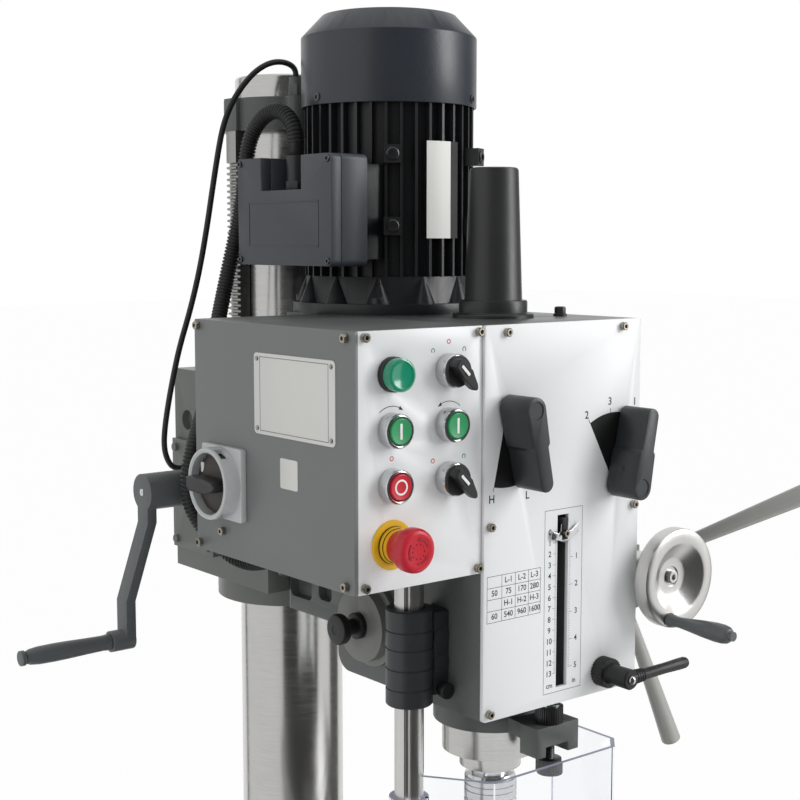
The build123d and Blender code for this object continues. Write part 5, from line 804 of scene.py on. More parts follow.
HEAD_CASTINGS = (
    ("front_plate", "gearbox_front_panel", 0.5, "panel_white"),
    ("control_plate", "control_panel", 0.5, "panel_white"),
    ("side_plate", "box_side_cover", 0.6, "cover_paint"),
    ("switch_box", "electrical_box", 0.8, "cover_paint"),
    ("gear_case", "gearbox_casting", 1.6, "casting_paint"),
    ("bracket_casting", "column_bracket", 1.6, "casting_paint"),
    ("lift_gear_cover", "lift_cover", 1.2, "casting_paint"),
    ("feed_cases", "feed_housings", 1.6, "casting_paint"),
    ("fan_hood", "fan_cover", 0.9, "motor_black"),
    ("motor_foot", "motor_flange", 0.6, "motor_black"),
    ("motor_body", "motor_stator", 0.0, "motor_black"),
    ("terminal_case", "terminal_box", 0.8, "motor_black"),
    ("terminal_cover", "terminal_box_lid", 1.2, "motor_black"),
    ("hose_glands", "conduit_glands", 0.5, "motor_black"),
)
OWN_FINISHES = {
    "terminal_box": lid_grey,
    "terminal_box_lid": lid_grey,
    "electrical_box": box_grey,
    "fan_cover": hood_painted_sheen,
    "feed_housings": case_grey,
    "column_bracket": lift_grey,
    "lift_cover": lift_grey,
    "column_rack": rack_steel,
}


def dressed(name, node, edge, slot, body):
    """Puts a rounded copy of a CAD part in its place, in its own finish or its slot's."""
    piece = softened(name, node, edge)
    fit(piece, body, slot, OWN_FINISHES.get(node, finishes[slot]), node)
    print(name, len(piece.data.polygons), "faces")


for row in HEAD_CASTINGS:
    dressed(*row, "head")

# %% The stand, the column and the lift
OTHER_CASTINGS = (
    ("base_plinth", "base_casting", 2.5, "casting_paint", "stand"),
    ("column_socket", "column_foot", 1.6, "casting_paint", "stand"),
    ("column_pipe", "column_tube", 1.0, "bright_steel", "stand"),
    ("cross_saddle", "saddle", 1.4, "casting_paint", "saddle"),
    ("slotted_table", "work_table", 0.8, "table_iron", "table"),
    ("lift_rack", "column_rack", 0.3, "bright_steel", "mast"),
    ("rack_collar", "top_collar", 0.9, "casting_paint", "mast"),
    ("crank_arm", "lift_crank", 1.4, "crank_paint", "lift_crank"),
    ("stop_clamp", "depth_stop_clamp", 1.0, "casting_paint", "quill"),
    ("quill_tube", "quill_sleeve", 0.8, "bright_steel", "quill"),
    ("spindle_nose", "spindle", 0.6, "bright_steel", "spindle"),
    ("feed_arms", "feed_levers", 0.6, "lever_paint", "feed"),
    ("feed_hub", "feed_shaft", 1.2, "casting_paint", "feed"),
    ("cross_wheels", "x_feed_screw", 0.8, "bright_aluminium", "x_screw"),
    ("saddle_wheel", "y_feed_screw", 0.8, "bright_aluminium", "y_screw"),
)
for row in OTHER_CASTINGS:
    dressed(*row)

# %% [markdown]
# ## Screws
# The panels are held by socket-head cap screws. One is turned, a six-sided socket is cut into it with
# a Boolean, and it is copied to each place.

# %% Cap screws


def cap_screw(name, radius, height, socket, deep):
    """A cap screw's head standing on the origin, with a six-sided socket."""
    rim = radius * 0.14
    profile = [(0, 0), (radius, 0), (radius, height - rim), (radius - rim, height), (0, height)]
    head = turned(name, profile, sides=32)
    bpy.ops.object.select_all(action="DESELECT")
    bpy.ops.mesh.primitive_cylinder_add(vertices=6, radius=socket * MM, depth=2 * deep * MM)
    tool = bpy.context.object
    tool.location.z = height * MM
    bpy.ops.object.transform_apply(location=True, rotation=True, scale=True)
    return cut(head, tool)


PANEL_SCREWS = ((-72, 340), (72, 340), (-90, 172.8), (90, 172.8), (-90, 7), (90, 7))
CONTROL_SCREWS = ((-223, 341.5), (-223, 138.5), (-101.5, 341.5), (-101.5, 138.5))
COVER_SCREWS = ((241, 341), (13, 341), (241, 139.5), (13, 139.5), (201, 156))
FACE = 3
COVER_X = -233
panel_places = [at_head(x, 0, z) for x, z in PANEL_SCREWS]
control_places = [at_head(x, FACE, z) for x, z in CONTROL_SCREWS]
cover_places = [at_head(COVER_X, y, z) for y, z in COVER_SCREWS]
small_screw = cap_screw("small_screw", 3.8, 4.6, 2.0, 2.6)
front_screws = copies("front_screws", small_screw, panel_places + control_places, "front")
cover_screws = copies("cover_screws", small_screw, cover_places, "left")
dropped(small_screw)
CLAMP_HALF = 30
CLAMP_Y = 533.5
CLAMP_HEIGHTS = (115, 215)
NUT_PROFILE = [(0, 0), (11.5, 0), (12, 0.8), (12, 8), (11, 9), (7, 9), (7, 12), (0, 12.6)]
big_screw = cap_screw("big_screw", 12.0, 9.0, 5.5, 6.0)
spots = [at_head(CLAMP_HALF, CLAMP_Y, z) for z in CLAMP_HEIGHTS]
clamp_heads = copies("clamp_heads", big_screw, spots, "right")
dropped(big_screw)
clamp_nut = turned("clamp_nut", NUT_PROFILE, sides=6)
spots = [at_head(-CLAMP_HALF, CLAMP_Y, z) for z in CLAMP_HEIGHTS]
clamp_nuts = copies("clamp_nuts", clamp_nut, spots, "left")
dropped(clamp_nut)
screw_set = joined("head_screws", [front_screws, cover_screws, clamp_heads, clamp_nuts])
fit(screw_set, "head", "screw_steel", finishes["screw_steel"], "head_fasteners")
small_count = len(panel_places) + len(control_places) + len(cover_places)
print("screws:", small_count, "small,", len(CLAMP_HEIGHTS), "large")

# %% [markdown]
# ## Front of the switch box
# The control devices are the usual 22 mm kind: a chromed ring screwed on from the front and a moulded
# button inside it. Ring and button are separate pieces, because the button moves.

# %% Rings, buttons and the lamp
LAMP = (-195, 310.8)
MODE = (-134.5, 310.8)
FORWARD = (-195, 265.4)
REVERSE = (-134.5, 265.4)
STOP = (-195, 220)
COOLANT = (-134.5, 220)
EMERGENCY = (-195, 171)
RINGED = (MODE, FORWARD, REVERSE, STOP, COOLANT)


def on_face(spot, out=0.0):
    """A place on the control plate, given by its X and Z and how far it stands out."""
    return at_head(spot[0], FACE - out, spot[1])


RING_PROFILE = [(11.4, 0), (14.5, 0), (14.5, 9.8), (14.2, 11.2), (13.4, 12.1), (12.6, 12.4), (11.9, 12.1),
                (11.4, 11.4), (11.4, 0)]
ring = turned("trim_ring", RING_PROFILE, crease=50)
trim_rings = copies("trim_rings", ring, [on_face(spot) for spot in RINGED], "front")
dropped(ring)
fit(trim_rings, "head", "chrome_trim", finishes["chrome_trim"], "switch_bezels")

BUTTON_PROFILE = [(0, 1), (10.9, 1), (10.9, 11.8), (10.6, 12.6), (9.9, 13.0), (9.2, 12.8), (0, 12.5)]
BUTTONS = (
    ("forward_button", FORWARD, "green_plastic"),
    ("reverse_button", REVERSE, "green_plastic"),
    ("stop_button", STOP, "red_plastic"),
)
O_MARK = [(5.0, 12.4), (6.5, 12.4), (6.5, 12.9), (5.0, 12.9), (5.0, 12.4)]
for node, spot, slot in BUTTONS:
    face = turned(node + "_face", BUTTON_PROFILE, on_face(spot), "front")
    fit(face, node, slot, finishes[slot], node)
    if node == "stop_button":
        mark = turned("stop_mark", O_MARK, on_face(spot), "front")
    else:
        mark = outlined(node + "_mark", rounded(2.3, 13, 0.5), 0.6, on_face(spot, 12.3), edge=0.12)
    fit(mark, node, "grey_plastic", ink_white)

LAMP_SEAT = [(0, 0), (14.5, 0), (14.5, 5.2), (14, 6), (0, 6)]
lamp_seat = turned("lamp_seat", LAMP_SEAT, on_face(LAMP), "front")
fit(lamp_seat, "head", "black_plastic", finishes["black_plastic"])
LENS_PROFILE = [(0, 6), (13.6, 6), (13.6, 13.2), (13.2, 14.4), (12.2, 15), (11.2, 15), (10.6, 14.3),
                (10.2, 14.1), (0, 14.4)]
lamp_lens = turned("lamp_lens", LENS_PROFILE, on_face(LAMP), "front")
fit(lamp_lens, "head", "green_plastic", lamp_green, "pilot_lamp")
print("devices:", len(BUTTONS), "buttons,", len(RINGED), "rings, 1 lamp")

# %% [markdown]
# A selector is a round boss with a wedge-shaped handle across it. The handle is an outline with a
# blunt tail and a long nose. After it is thickened, the top of the nose is pressed down, which gives
# the sloping back that a thumb pushes against.

# %% Selectors
SELECTORS = (("mode_selector", MODE), ("coolant_selector", COOLANT))
SELECTOR_LEAN = -45
HANDLE_FOOT = 13.2
HANDLE_TALL = 10.6
NOSE_FROM = 10
NOSE_DROP = 4.6
LINE_FOOT = 23.5
LINE_BACK = 2.0
BOSS_PROFILE = [(0, 1), (11, 1), (11, 12.6), (13.0, 12.7), (13.2, 13.4), (12.6, 14.4), (0, 14.4)]
HANDLE = ((-11, -4.8), (-12.6, -2.4), (-12.6, 2.4), (-11, 4.8), (4, 5.6), (18.6, 3.4), (21.8, 1.8),
          (22.6, 0), (21.8, -1.8), (18.6, -3.4), (4, -5.6))


def on_nose(place):
    """True for the upper points of a handle's nose."""
    return place.z > HANDLE_TALL / 2 * MM and place.x > NOSE_FROM * MM


for node, spot in SELECTORS:
    lean = FACING["front"] @ turn_of((SELECTOR_LEAN, "Z"))
    boss = turned(node + "_boss", BOSS_PROFILE, on_face(spot), "front")
    handle = outlined(node + "_handle", HANDLE, HANDLE_TALL, facing="up")
    ease(lowered(handle, on_nose, NOSE_DROP), 1.1, 3)
    placed(handle, on_face(spot, HANDLE_FOOT), lean)
    grip = joined(node + "_grip", [boss, handle])
    fit(grip, node, "black_plastic", finishes["black_plastic"], node)
    line = outlined(node + "_line", rounded(11.4, 2.4, 0.4), 0.5, facing="up")
    middle = on_face(spot, LINE_FOOT) + lean.to_3x3() @ Vector((-LINE_BACK, 0, 0)) * MM
    placed(line, middle, lean)
    fit(line, node, "grey_plastic", ink_white)
print("selectors:", len(SELECTORS))

# %% [markdown]
# The emergency stop is a red mushroom on a yellow collar. A black seal and a yellow neck stand on the
# plate, and a yellow band belongs to the moving stem. The arrows on the mushroom's face are raised
# a little, as they are moulded, so they catch the light.

# %% Emergency stop
COLLAR_PROFILE = [(15.6, 0), (20.6, 0), (20.6, 1.5), (20.2, 2.1), (16.0, 2.3), (15.6, 2.2), (15.6, 0)]
stop_collar = turned("stop_collar", COLLAR_PROFILE, on_face(EMERGENCY), "front")
fit(stop_collar, "head", "yellow_plastic", finishes["yellow_plastic"], "estop_collar")
SEAL_PROFILE = [(14.4, 0), (15.6, 0), (15.6, 3.4), (14.4, 3.4), (14.4, 0)]
seal = turned("stop_seal", SEAL_PROFILE, on_face(EMERGENCY), "front")
fit(seal, "head", "black_plastic", finishes["black_plastic"])
NECK_PROFILE = [(14.4, 3.4), (15.2, 3.4), (15.2, 5.6), (14.9, 6), (14.4, 6), (14.4, 3.4)]
neck = turned("stop_neck", NECK_PROFILE, on_face(EMERGENCY), "front")
fit(neck, "head", "yellow_plastic", finishes["yellow_plastic"])
BAND_PROFILE = [(12.8, 6.2), (13.8, 6.2), (14.2, 10.4), (13.4, 10.8), (12.8, 6.2)]
neck_band = turned("stop_band", BAND_PROFILE, on_face(EMERGENCY), "front")
fit(neck_band, "emergency_button", "yellow_plastic", finishes["yellow_plastic"])
MUSHROOM = [(0, 6.1), (13.2, 6.1), (13.3, 8), (14.1, 12.5), (15.4, 17), (17.0, 21), (18.0, 23), (18.4, 25),
            (18.4, 30.5), (17.8, 33), (16.2, 34.8), (14.2, 35.6), (12.4, 35.3), (0, 35.2)]
mushroom = turned("stop_mushroom", MUSHROOM, on_face(EMERGENCY), "front")
fit(mushroom, "emergency_button", "red_plastic", finishes["red_plastic"], "emergency_button")
DIAL_OUT = 35.1
RAISED = 0.6
ARROW_STARTS = (20, 140, 260)
ARROW_SWEEP = 62
ARROW_POINT = 80
DOT_PROFILE = [(0, 0), (0.8, 0), (0.7, 0.5), (0, 0.7)]
dial = on_face(EMERGENCY, DIAL_OUT)
marks = []
for start in ARROW_STARTS:
    sweep = band(9.2, 10.6, start, start + ARROW_SWEEP, 10)
    marks.append(outlined("turn_arc", sweep, RAISED, dial))
    tip = arrow_tip(9.9, 1.9, start + ARROW_SWEEP, start + ARROW_POINT)
    marks.append(outlined("turn_tip", tip, RAISED, dial))
for spot in arc(6.2, 0, 324, 9, EMERGENCY):
    marks.append(turned("turn_dot", DOT_PROFILE, on_face(spot, DIAL_OUT), "front", 10))
fit(joined("stop_arrows", marks), "emergency_button", "red_plastic", moulded_red)
print("emergency stop: collar, seal, neck, mushroom and", len(marks), "raised marks")

# %% [markdown]
# ## Printing
# Scales, ticks and numbers are printed on the white plates. Each is a very thin solid that stands
# less than a tenth of a millimetre proud, so it takes its own ink and still shows in the exported
# meshes. A tick is drawn once and an Array modifier repeats it down the scale.

# %% Print tools
INK = 0.06
BOLD = 0.013


def bar(name, low, high):
    """A printed bar between two corners (X, Z) on the front panel."""
    return boxed(name, (low[0], -INK, low[1]), (high[0], INK, high[1]))


def lettered(words, size, place):
    """Printed figures: text made a thin solid mesh."""
    bpy.ops.object.select_all(action="DESELECT")
    bpy.ops.object.text_add()
    text = bpy.context.object
    text.data.body = words
    text.data.size = size * MM
    text.data.align_x = "CENTER"
    text.data.align_y = "CENTER"
    text.data.extrude = INK * MM
    text.data.offset = size * BOLD * MM
    text.data.resolution_u = 3
    bpy.ops.object.convert(target="MESH")
    piece = bpy.context.object
    bpy.ops.object.mode_set(mode="EDIT")
    clean()
    return placed(piece, place, "front")


def repeated(piece, count, step):
    """Repeats a piece count times, a step in millimetres apart."""
    only(piece)
    row = piece.modifiers.new("row", "ARRAY")
    row.count = count
    row.use_relative_offset = False
    row.use_constant_offset = True
    row.constant_offset_displace = Vector(step) * MM
    bpy.ops.object.modifier_apply(modifier=row.name)
    return piece


print("ink stands", INK, "mm proud")

# %% Depth scale
SCALE_TOP = 159
INCH = 25.4
FIGURE = 7.4
UNIT = 6.6
UNIT_Z = 18
prints = [
    bar("scale_top", (-24, 178.7), (23, 179.1)),
    bar("scale_low", (-24, 10.9), (23, 11.3)),
    bar("scale_left", (-24.2, 10.9), (-23.8, 179.1)),
    bar("scale_right", (22.8, 10.9), (23.2, 179.1)),
    repeated(bar("mm_tick", (-11.4, SCALE_TOP - 0.1), (-9.2, SCALE_TOP + 0.1)), 131, (0, 0, -1)),
    repeated(bar("cm_tick", (-13.4, SCALE_TOP - 0.15), (-9.2, SCALE_TOP + 0.15)), 14, (0, 0, -10)),
    repeated(bar("fine_tick", (6.2, SCALE_TOP - 0.1), (8.4, SCALE_TOP + 0.1)), 81, (0, 0, -INCH / 16)),
    repeated(bar("inch_tick", (6.2, SCALE_TOP - 0.15), (11.4, SCALE_TOP + 0.15)), 6, (0, 0, -INCH)),
]
prints += [lettered(str(cm), FIGURE, at_head(-17.6, 0, SCALE_TOP - 10 * cm)) for cm in range(14)]
prints += [lettered(str(inch), FIGURE, at_head(16, 0, SCALE_TOP - INCH * inch)) for inch in range(6)]
prints += [lettered("cm", UNIT, at_head(-16.6, 0, UNIT_Z)), lettered("in", UNIT, at_head(14.4, 0, UNIT_Z))]
print("depth scale:", len(prints), "prints")
fit(joined("depth_scale", prints), "head", "black_plastic", ink_black)

# %% Speed table
TABLE_COLUMNS = (-92.6, -75.4, -59.4, -43.6, -29)
TABLE_ROWS = (88, 98.25, 108.5, 118.75, 129)
SPEEDS = (("", "L-1", "L-2", "L-3"), ("50", "75", "170", "280"), ("", "H-1", "H-2", "H-3"),
          ("60", "540", "960", "1600"))
RULE = 0.2
SPEED = 7.2
first, last = TABLE_COLUMNS[0], TABLE_COLUMNS[-1]
prints = [bar("rule_up", (x - RULE, TABLE_ROWS[0]), (x + RULE, TABLE_ROWS[-1])) for x in TABLE_COLUMNS]
prints += [bar("rule_across", (first, z - RULE), (last, z + RULE)) for z in TABLE_ROWS]
for row, figures in enumerate(SPEEDS):
    middle = (TABLE_ROWS[-1 - row] + TABLE_ROWS[-2 - row]) / 2
    for left, right, figure in zip(TABLE_COLUMNS, TABLE_COLUMNS[1:], figures):
        if figure:
            prints.append(lettered(figure, SPEED, at_head((left + right) / 2, 0, middle)))
print("speed table:", len(prints), "prints")
fit(joined("speed_table", prints), "head", "black_plastic", ink_black)

# %% Lever sectors
LEFT_PIVOT = (-70.5, 275.3)
RIGHT_PIVOT = (63, 195.5)
SECTORS = (
    (LEFT_PIVOT, 70, (-102.5, -72.8), 14),
    (RIGHT_PIVOT, 66, (69.8, 94.5, 118.7), 18),
)
TICK_LONG = 4
TICK_HALF = 0.25
GEAR = 10
GEAR_MARKS = (("H", -88, 196.5), ("L", -46, 196), ("2", 27, 261), ("3", 57, 271.6), ("1", 90, 269.3))
prints = [lettered(mark, GEAR, at_head(x, 0, z)) for mark, x, z in GEAR_MARKS]
for pivot, radius, angles, steps in SECTORS:
    sector = [pivot] + arc(radius, angles[0], angles[-1], steps, pivot)
    prints.append(outlined("sector", sector, INK, HEAD_ZERO))
    for angle in angles:
        tick = band(radius, radius + TICK_LONG, angle - TICK_HALF, angle + TICK_HALF, 1, pivot)
        prints.append(outlined("tick", tick, INK, HEAD_ZERO))
print("lever marks:", len(prints), "prints")
fit(joined("lever_print", prints), "head", "black_plastic", ink_black)

# %% Control marks
MARK_IN = 1.3
MARK_OUT = 2.1
MARK_RING = [(MARK_IN, 0), (MARK_OUT, 0), (MARK_OUT, INK), (MARK_IN, INK), (MARK_IN, 0)]
WAY_R = 19.5
WAY_HALF = 0.3
WAY_TIP = 1.6
WAY_REACH = 14
plate_zero = on_face((0, 0))


def arrow_arc(spot, start, end):
    """A thin arc over a button with a pointed end."""
    point = end + math.copysign(WAY_REACH, end - start)
    sweep = band(WAY_R - WAY_HALF, WAY_R + WAY_HALF, start, end, 14, spot)
    tip = arrow_tip(WAY_R, WAY_TIP, end, point, spot)
    return [outlined("arrow_arc", sweep, INK, plate_zero), outlined("arrow_tip", tip, INK, plate_zero)]


def beside(spot, across, up):
    """A place beside a device on the control plate."""
    return (spot[0] + across, spot[1] + up)


arrows = arrow_arc(FORWARD, 130, 66) + arrow_arc(REVERSE, 50, 114)
fit(joined("way_arrows", arrows), "head", "black_plastic", ink_black)
red_marks = [
    turned("ring_mark", MARK_RING, on_face(spot), "front", 20)
    for spot in (beside(STOP, 0, 22), beside(MODE, 0, 24), beside(COOLANT, -17, 16))
]
fit(joined("stop_marks", red_marks), "head", "red_plastic", ink_red)
green_marks = [
    outlined("gap_ring", band(MARK_IN, MARK_OUT, -60, 240, 18, spot), INK, plate_zero)
    for spot in (beside(MODE, -17, 17), beside(MODE, 17, 17), beside(COOLANT, 17, 17))
]
fit(joined("run_marks", green_marks), "head", "green_plastic", ink_green)
print("control marks:", len(arrows) + len(red_marks) + len(green_marks), "prints")

# %% [markdown]
# ## Gear levers
# Both gear levers are deep black paddles: a round end on the pivot, a step half-way along and a
# narrower end to push. The outline is drawn round the pivot, thickened to its full depth, eased, and
# turned to point where each lever stands.

# %% Paddles
LEVER_DEPTH = 34.5
LEVER_LIFT = 2
PADDLE = (arc(11.5, 84, 276, 22) + [(29, -10.4), (31.6, -10.2), (33, -9), (33.8, -8)]
          + arc(7.7, -86, 86, 16, (64.8, 0)) + [(33.8, 8), (33, 9), (31.6, 10.2), (29, 10.4)])
LEVERS = (
    ("range_lever", LEFT_PIVOT, (-57, 211.2)),
    ("speed_lever", RIGHT_PIVOT, (75.3, 258.8)),
)
DISH_PROFILE = [(0, 0), (7.4, 0), (8.4, 1.2), (8.4, 3), (0, 3)]
DISH_FOOT = Vector((0, 0, LEVER_DEPTH - 0.9)) * MM
BOLT_PROFILE = [(0, 0), (3.0, 0), (3.0, 0.7), (2.4, 1.0), (1.4, 0.4), (0, 0.4)]
BOLT_FOOT = Vector((14.2, 10.8, LEVER_DEPTH * 0.45)) * MM
for node, pivot, target in LEVERS:
    lean = math.degrees(math.atan2(target[1] - pivot[1], target[0] - pivot[0]))
    turn = FACING["front"] @ turn_of((lean, "Z"))
    seat = at_head(pivot[0], -LEVER_LIFT, pivot[1])
    paddle = outlined(node + "_body", PADDLE, LEVER_DEPTH, facing="up", edge=1.6)
    cut(paddle, turned("dish", DISH_PROFILE, DISH_FOOT))
    placed(paddle, seat, turn)
    bolt = turned("bolt", BOLT_PROFILE, BOLT_FOOT, turn_of((-88, "X")), 16)
    placed(bolt, seat, turn)
    lever = joined(node + "_paddle", [paddle, bolt])
    fit(lever, node, "black_plastic", lever_black, node)
print("gear levers:", len(LEVERS))

# %% [markdown]
# ## Switch on the side cover
# The main switch has a pale square plate, a silver cup and a black handle with wings. The cup is a
# turned ring with two slots cut through its rim, where a padlock goes.

# %% Main switch
SWITCH = (195, 202)
WINDOW = 62
CUP_PROFILE = [(27.8, 0), (32.5, 0), (32.5, 13.6), (31.8, 15.3), (30.4, 16), (29, 15.6), (27.8, 14.4),
               (27.8, 0)]
DISC_PROFILE = [(0, 0.3), (27, 0.3), (27, 6), (25.6, 8), (22, 9), (15, 10), (0, 10)]
KNOB_WINGS = ((-25, -2.5), (-23.4, -5.4), (-14, -6.5), (14, -6.5), (21, -4.6), (25, 0), (21, 4.6),
              (14, 6.5), (-14, 6.5), (-23.4, 5.4), (-25, 2.5))
WING_TALL = 18
WING_ENDS = 18
WING_DROP = 5


def on_cover(y, z, out=0.0):
    """A place on the side cover, and how far it stands out."""
    return at_head(COVER_X - out, y, z)


def on_wing_end(place):
    """True for the upper points of the handle's two ends."""
    return place.z > WING_TALL / 2 * MM and abs(place.x) > WING_ENDS * MM


switch_plate = outlined("switch_plate", rounded(66, 66, 2.6), 6, on_cover(*SWITCH), "left", edge=0.9)
cup = turned("switch_cup", CUP_PROFILE)
for side in (1, -1):
    bpy.ops.object.select_all(action="DESELECT")
    bpy.ops.mesh.primitive_cube_add(size=1)
    tool = bpy.context.object
    tool.scale = Vector((14, 16, 9)) * MM
    tool.location = Vector((*spot_at(30, side * WINDOW), 8)) * MM
    tool.rotation_euler.z = math.radians(side * (WINDOW - 90))
    bpy.ops.object.transform_apply(location=True, rotation=True, scale=True)
    cut(cup, tool)
placed(cup, on_cover(*SWITCH, 6), "left")
fit(switch_plate, "head", "grey_plastic", switch_grey, "main_switch_base")
fit(cup, "head", "chrome_trim", switch_silver)
disc = turned("knob_disc", DISC_PROFILE, on_cover(*SWITCH, 6), "left")
fit(disc, "main_switch", "black_plastic", dish_brown)
wing = outlined("knob_wing", KNOB_WINGS, WING_TALL, facing="up")
ease(lowered(wing, on_wing_end, WING_DROP), 1.6, 3)
placed(wing, on_cover(*SWITCH, 15), "left")
fit(wing, "main_switch", "black_plastic", finishes["black_plastic"], "main_switch_knob")
tag = outlined("knob_tag", rounded(5, 9, 1), 0.4, on_cover(SWITCH[0] + 16, SWITCH[1] + 13, 15.2), "left")
fit(tag, "main_switch", "grey_plastic", ink_white)
print("main switch: plate, cup, disc and wing")

# %% [markdown]
# ## Plates on the side cover
# Two bare plates are fixed to the cover: a large one with four rivets and a small square one. They
# carry nothing, so what shows is the thin metal, its rounded corners and the rivet heads.

# %% Plates and rivets
PLATE_Y = (27.5, 147)
PLATE_Z = (251.5, 322)
RIVET_IN = 5
RIVET_PROFILE = [(0, 0), (2.2, 0), (2.1, 0.5), (1.5, 1.1), (0.8, 1.4), (0, 1.5)]


def line_frame(name, xs, ys, zs, width, edge=0.0):
    """Four thin bars round an oblong, on a face that looks left."""
    (y0, y1), (z0, z1) = ys, zs
    bars = [
        boxed("frame_bar", (xs[0], low[0], low[1]), (xs[1], high[0], high[1]), edge)
        for low, high in (
            ((y0, z0), (y1, z0 + width)),
            ((y0, z1 - width), (y1, z1)),
            ((y0, z0), (y0 + width, z1)),
            ((y1 - width, z0), (y1, z1)),
        )
    ]
    return joined(name, bars)


plate_middle = ((PLATE_Y[0] + PLATE_Y[1]) / 2, (PLATE_Z[0] + PLATE_Z[1]) / 2)
big_plate = outlined("riveted_plate", rounded(PLATE_Y[1] - PLATE_Y[0], PLATE_Z[1] - PLATE_Z[0], 4), 0.8,
                     on_cover(*plate_middle), "left", edge=0.2)
fit(big_plate, "head", "bright_aluminium", label_white)
border = line_frame("plate_border", (COVER_X - 0.9, COVER_X - 0.7), (PLATE_Y[0] + 9, PLATE_Y[1] - 9),
                    (PLATE_Z[0] + 3, PLATE_Z[1] - 3), 0.6)
fit(border, "head", "bright_aluminium", ink_grey)
rivet = turned("rivet", RIVET_PROFILE, sides=20)
spots = [on_cover(y, z, 0.8) for y in (PLATE_Y[0] + RIVET_IN, PLATE_Y[1] - RIVET_IN)
         for z in (PLATE_Z[0] + RIVET_IN, PLATE_Z[1] - RIVET_IN)]
rivets = copies("plate_rivets", rivet, spots, "left")
dropped(rivet)
fit(rivets, "head", "screw_steel", finishes["screw_steel"])
small_plate = outlined("small_plate", rounded(26, 26, 2), 0.5, on_cover(95, 221), "left", edge=0.12)
fit(small_plate, "head", "bright_aluminium", label_white)
print("plates: 2, rivets:", len(spots))

# %% [markdown]
# ## Motor
# The motor keeps its CAD body, whose fins and lugs are already there. What is added is small: screws
# in the lugs, screws on the fan hood's rim, a bare name plate bent round the fins, and the screws
# and the pressed line of the terminal cover.

# %% Motor details
MOTOR_Y = 255
LUG_R = 98
LUG_ANGLES = (-126, -60, 60, 126)
LUG_HEIGHTS = (431.6, 499.5)
HOOD_R = 87.9
HOOD_ANGLES = (-60, 60, 180)
HOOD_HEIGHT = 556


def outward(angle):
    """The turn that makes a piece face away from an upright axis at an angle."""
    return turn_of((90 + angle, "Z"), (90, "X"))


def round_motor(radius, angle, height):
    """A place round the motor's axis."""
    return at_head(*spot_at(radius, angle, (0, MOTOR_Y)), height)


lug_screw = cap_screw("lug_screw", 6.2, 1.6, 3.4, 1.3)
hood_screw = cap_screw("hood_screw", 4.2, 1.4, 2.3, 1.0)
made = []
for angle in LUG_ANGLES:
    spots = [round_motor(LUG_R, angle, height) for height in LUG_HEIGHTS]
    made.append(copies("lug_screws", lug_screw, spots, outward(angle)))
for angle in HOOD_ANGLES:
    spots = [round_motor(HOOD_R, angle, HOOD_HEIGHT)]
    made.append(copies("hood_screws", hood_screw, spots, outward(angle)))
dropped(lug_screw)
dropped(hood_screw)
fit(joined("motor_screws", made), "head", "dark_steel", finishes["dark_steel"])
print("motor screws:", len(LUG_ANGLES) * len(LUG_HEIGHTS) + len(HOOD_ANGLES))

# %% Name plate and terminal cover
NAME_R = (85.1, 85.9)
NAME_TALL = 93
name_foot = at_head(0, MOTOR_Y, 420)
name_plate = outlined("name_plate", band(*NAME_R, -103, -84, 10), NAME_TALL, name_foot, "up")
fit(name_plate, "head", "bright_aluminium", label_white)
name_edge = outlined("name_plate_edge", band(*NAME_R, -84, -77, 6), NAME_TALL, name_foot, "up")
fit(name_edge, "head", "motor_black", ink_black)

LID_X = -130
LID_Y = (175, 334)
LID_Z = (394, 498)
LID_IN = 5
lid_screw = cap_screw("lid_screw", 3.2, 1.8, 1.7, 1.4)
spots = [at_head(LID_X, y, z) for y in (LID_Y[0] + LID_IN, LID_Y[1] - LID_IN)
         for z in (LID_Z[0] + LID_IN, LID_Z[1] - LID_IN)]
fit(copies("lid_screws", lid_screw, spots, "left"), "head", "dark_steel", finishes["dark_steel"])
dropped(lid_screw)
lid_frame = line_frame("lid_frame", (LID_X - 0.5, LID_X + 0.5), (LID_Y[0] + 20, LID_Y[1] - 20),
                       (LID_Z[0] + 18, LID_Z[0] + 61.2), 1.2, 0.2)
fit(lid_frame, "head", "motor_black", lid_grey)
print("lid screws:", len(spots))

# %% [markdown]
# The drawbar's cap is a tall tapered tube on a stepped foot, closed at its top, and a small oil plug
# stands beside it. Both are turned shapes, so a section for each is enough.

# %% Drawbar cap and oil plug
HEAD_TOP = 346.6
CAP_PROFILE = [(0, 0), (38, 0), (38, 2.8), (37.2, 3.8), (32.6, 4.1), (32, 4.8), (32, 14.6), (31.2, 16),
               (27.6, 16.3), (27, 17.2), (22.9, 135.4), (22.2, 137.4), (20.6, 138.4), (0, 138.4)]
cap = turned("drawbar_cover", CAP_PROFILE, at_head(0, 97, HEAD_TOP), sides=72)
PLUG_PROFILE = [(0, 0), (6.5, 0), (6.5, 2), (5.4, 2.6), (5.4, 7.6), (4.8, 8.6), (3.6, 9), (0, 9)]
plug = turned("oil_plug", PLUG_PROFILE, at_head(65, 74, HEAD_TOP))
fit(joined("drawbar_cover", [cap, plug]), "head", "motor_black", cap_black, "drawbar_cap")
print("drawbar cover and oil plug")

# %% [markdown]
# ## Hand controls of the feed
# The fine-feed wheel is turned from aluminium, with a bright rim and a polished cone. The spring
# housing's knob, the quill lock and the grips are black or grey plastic and get their waists and
# rounded ends from their sections.

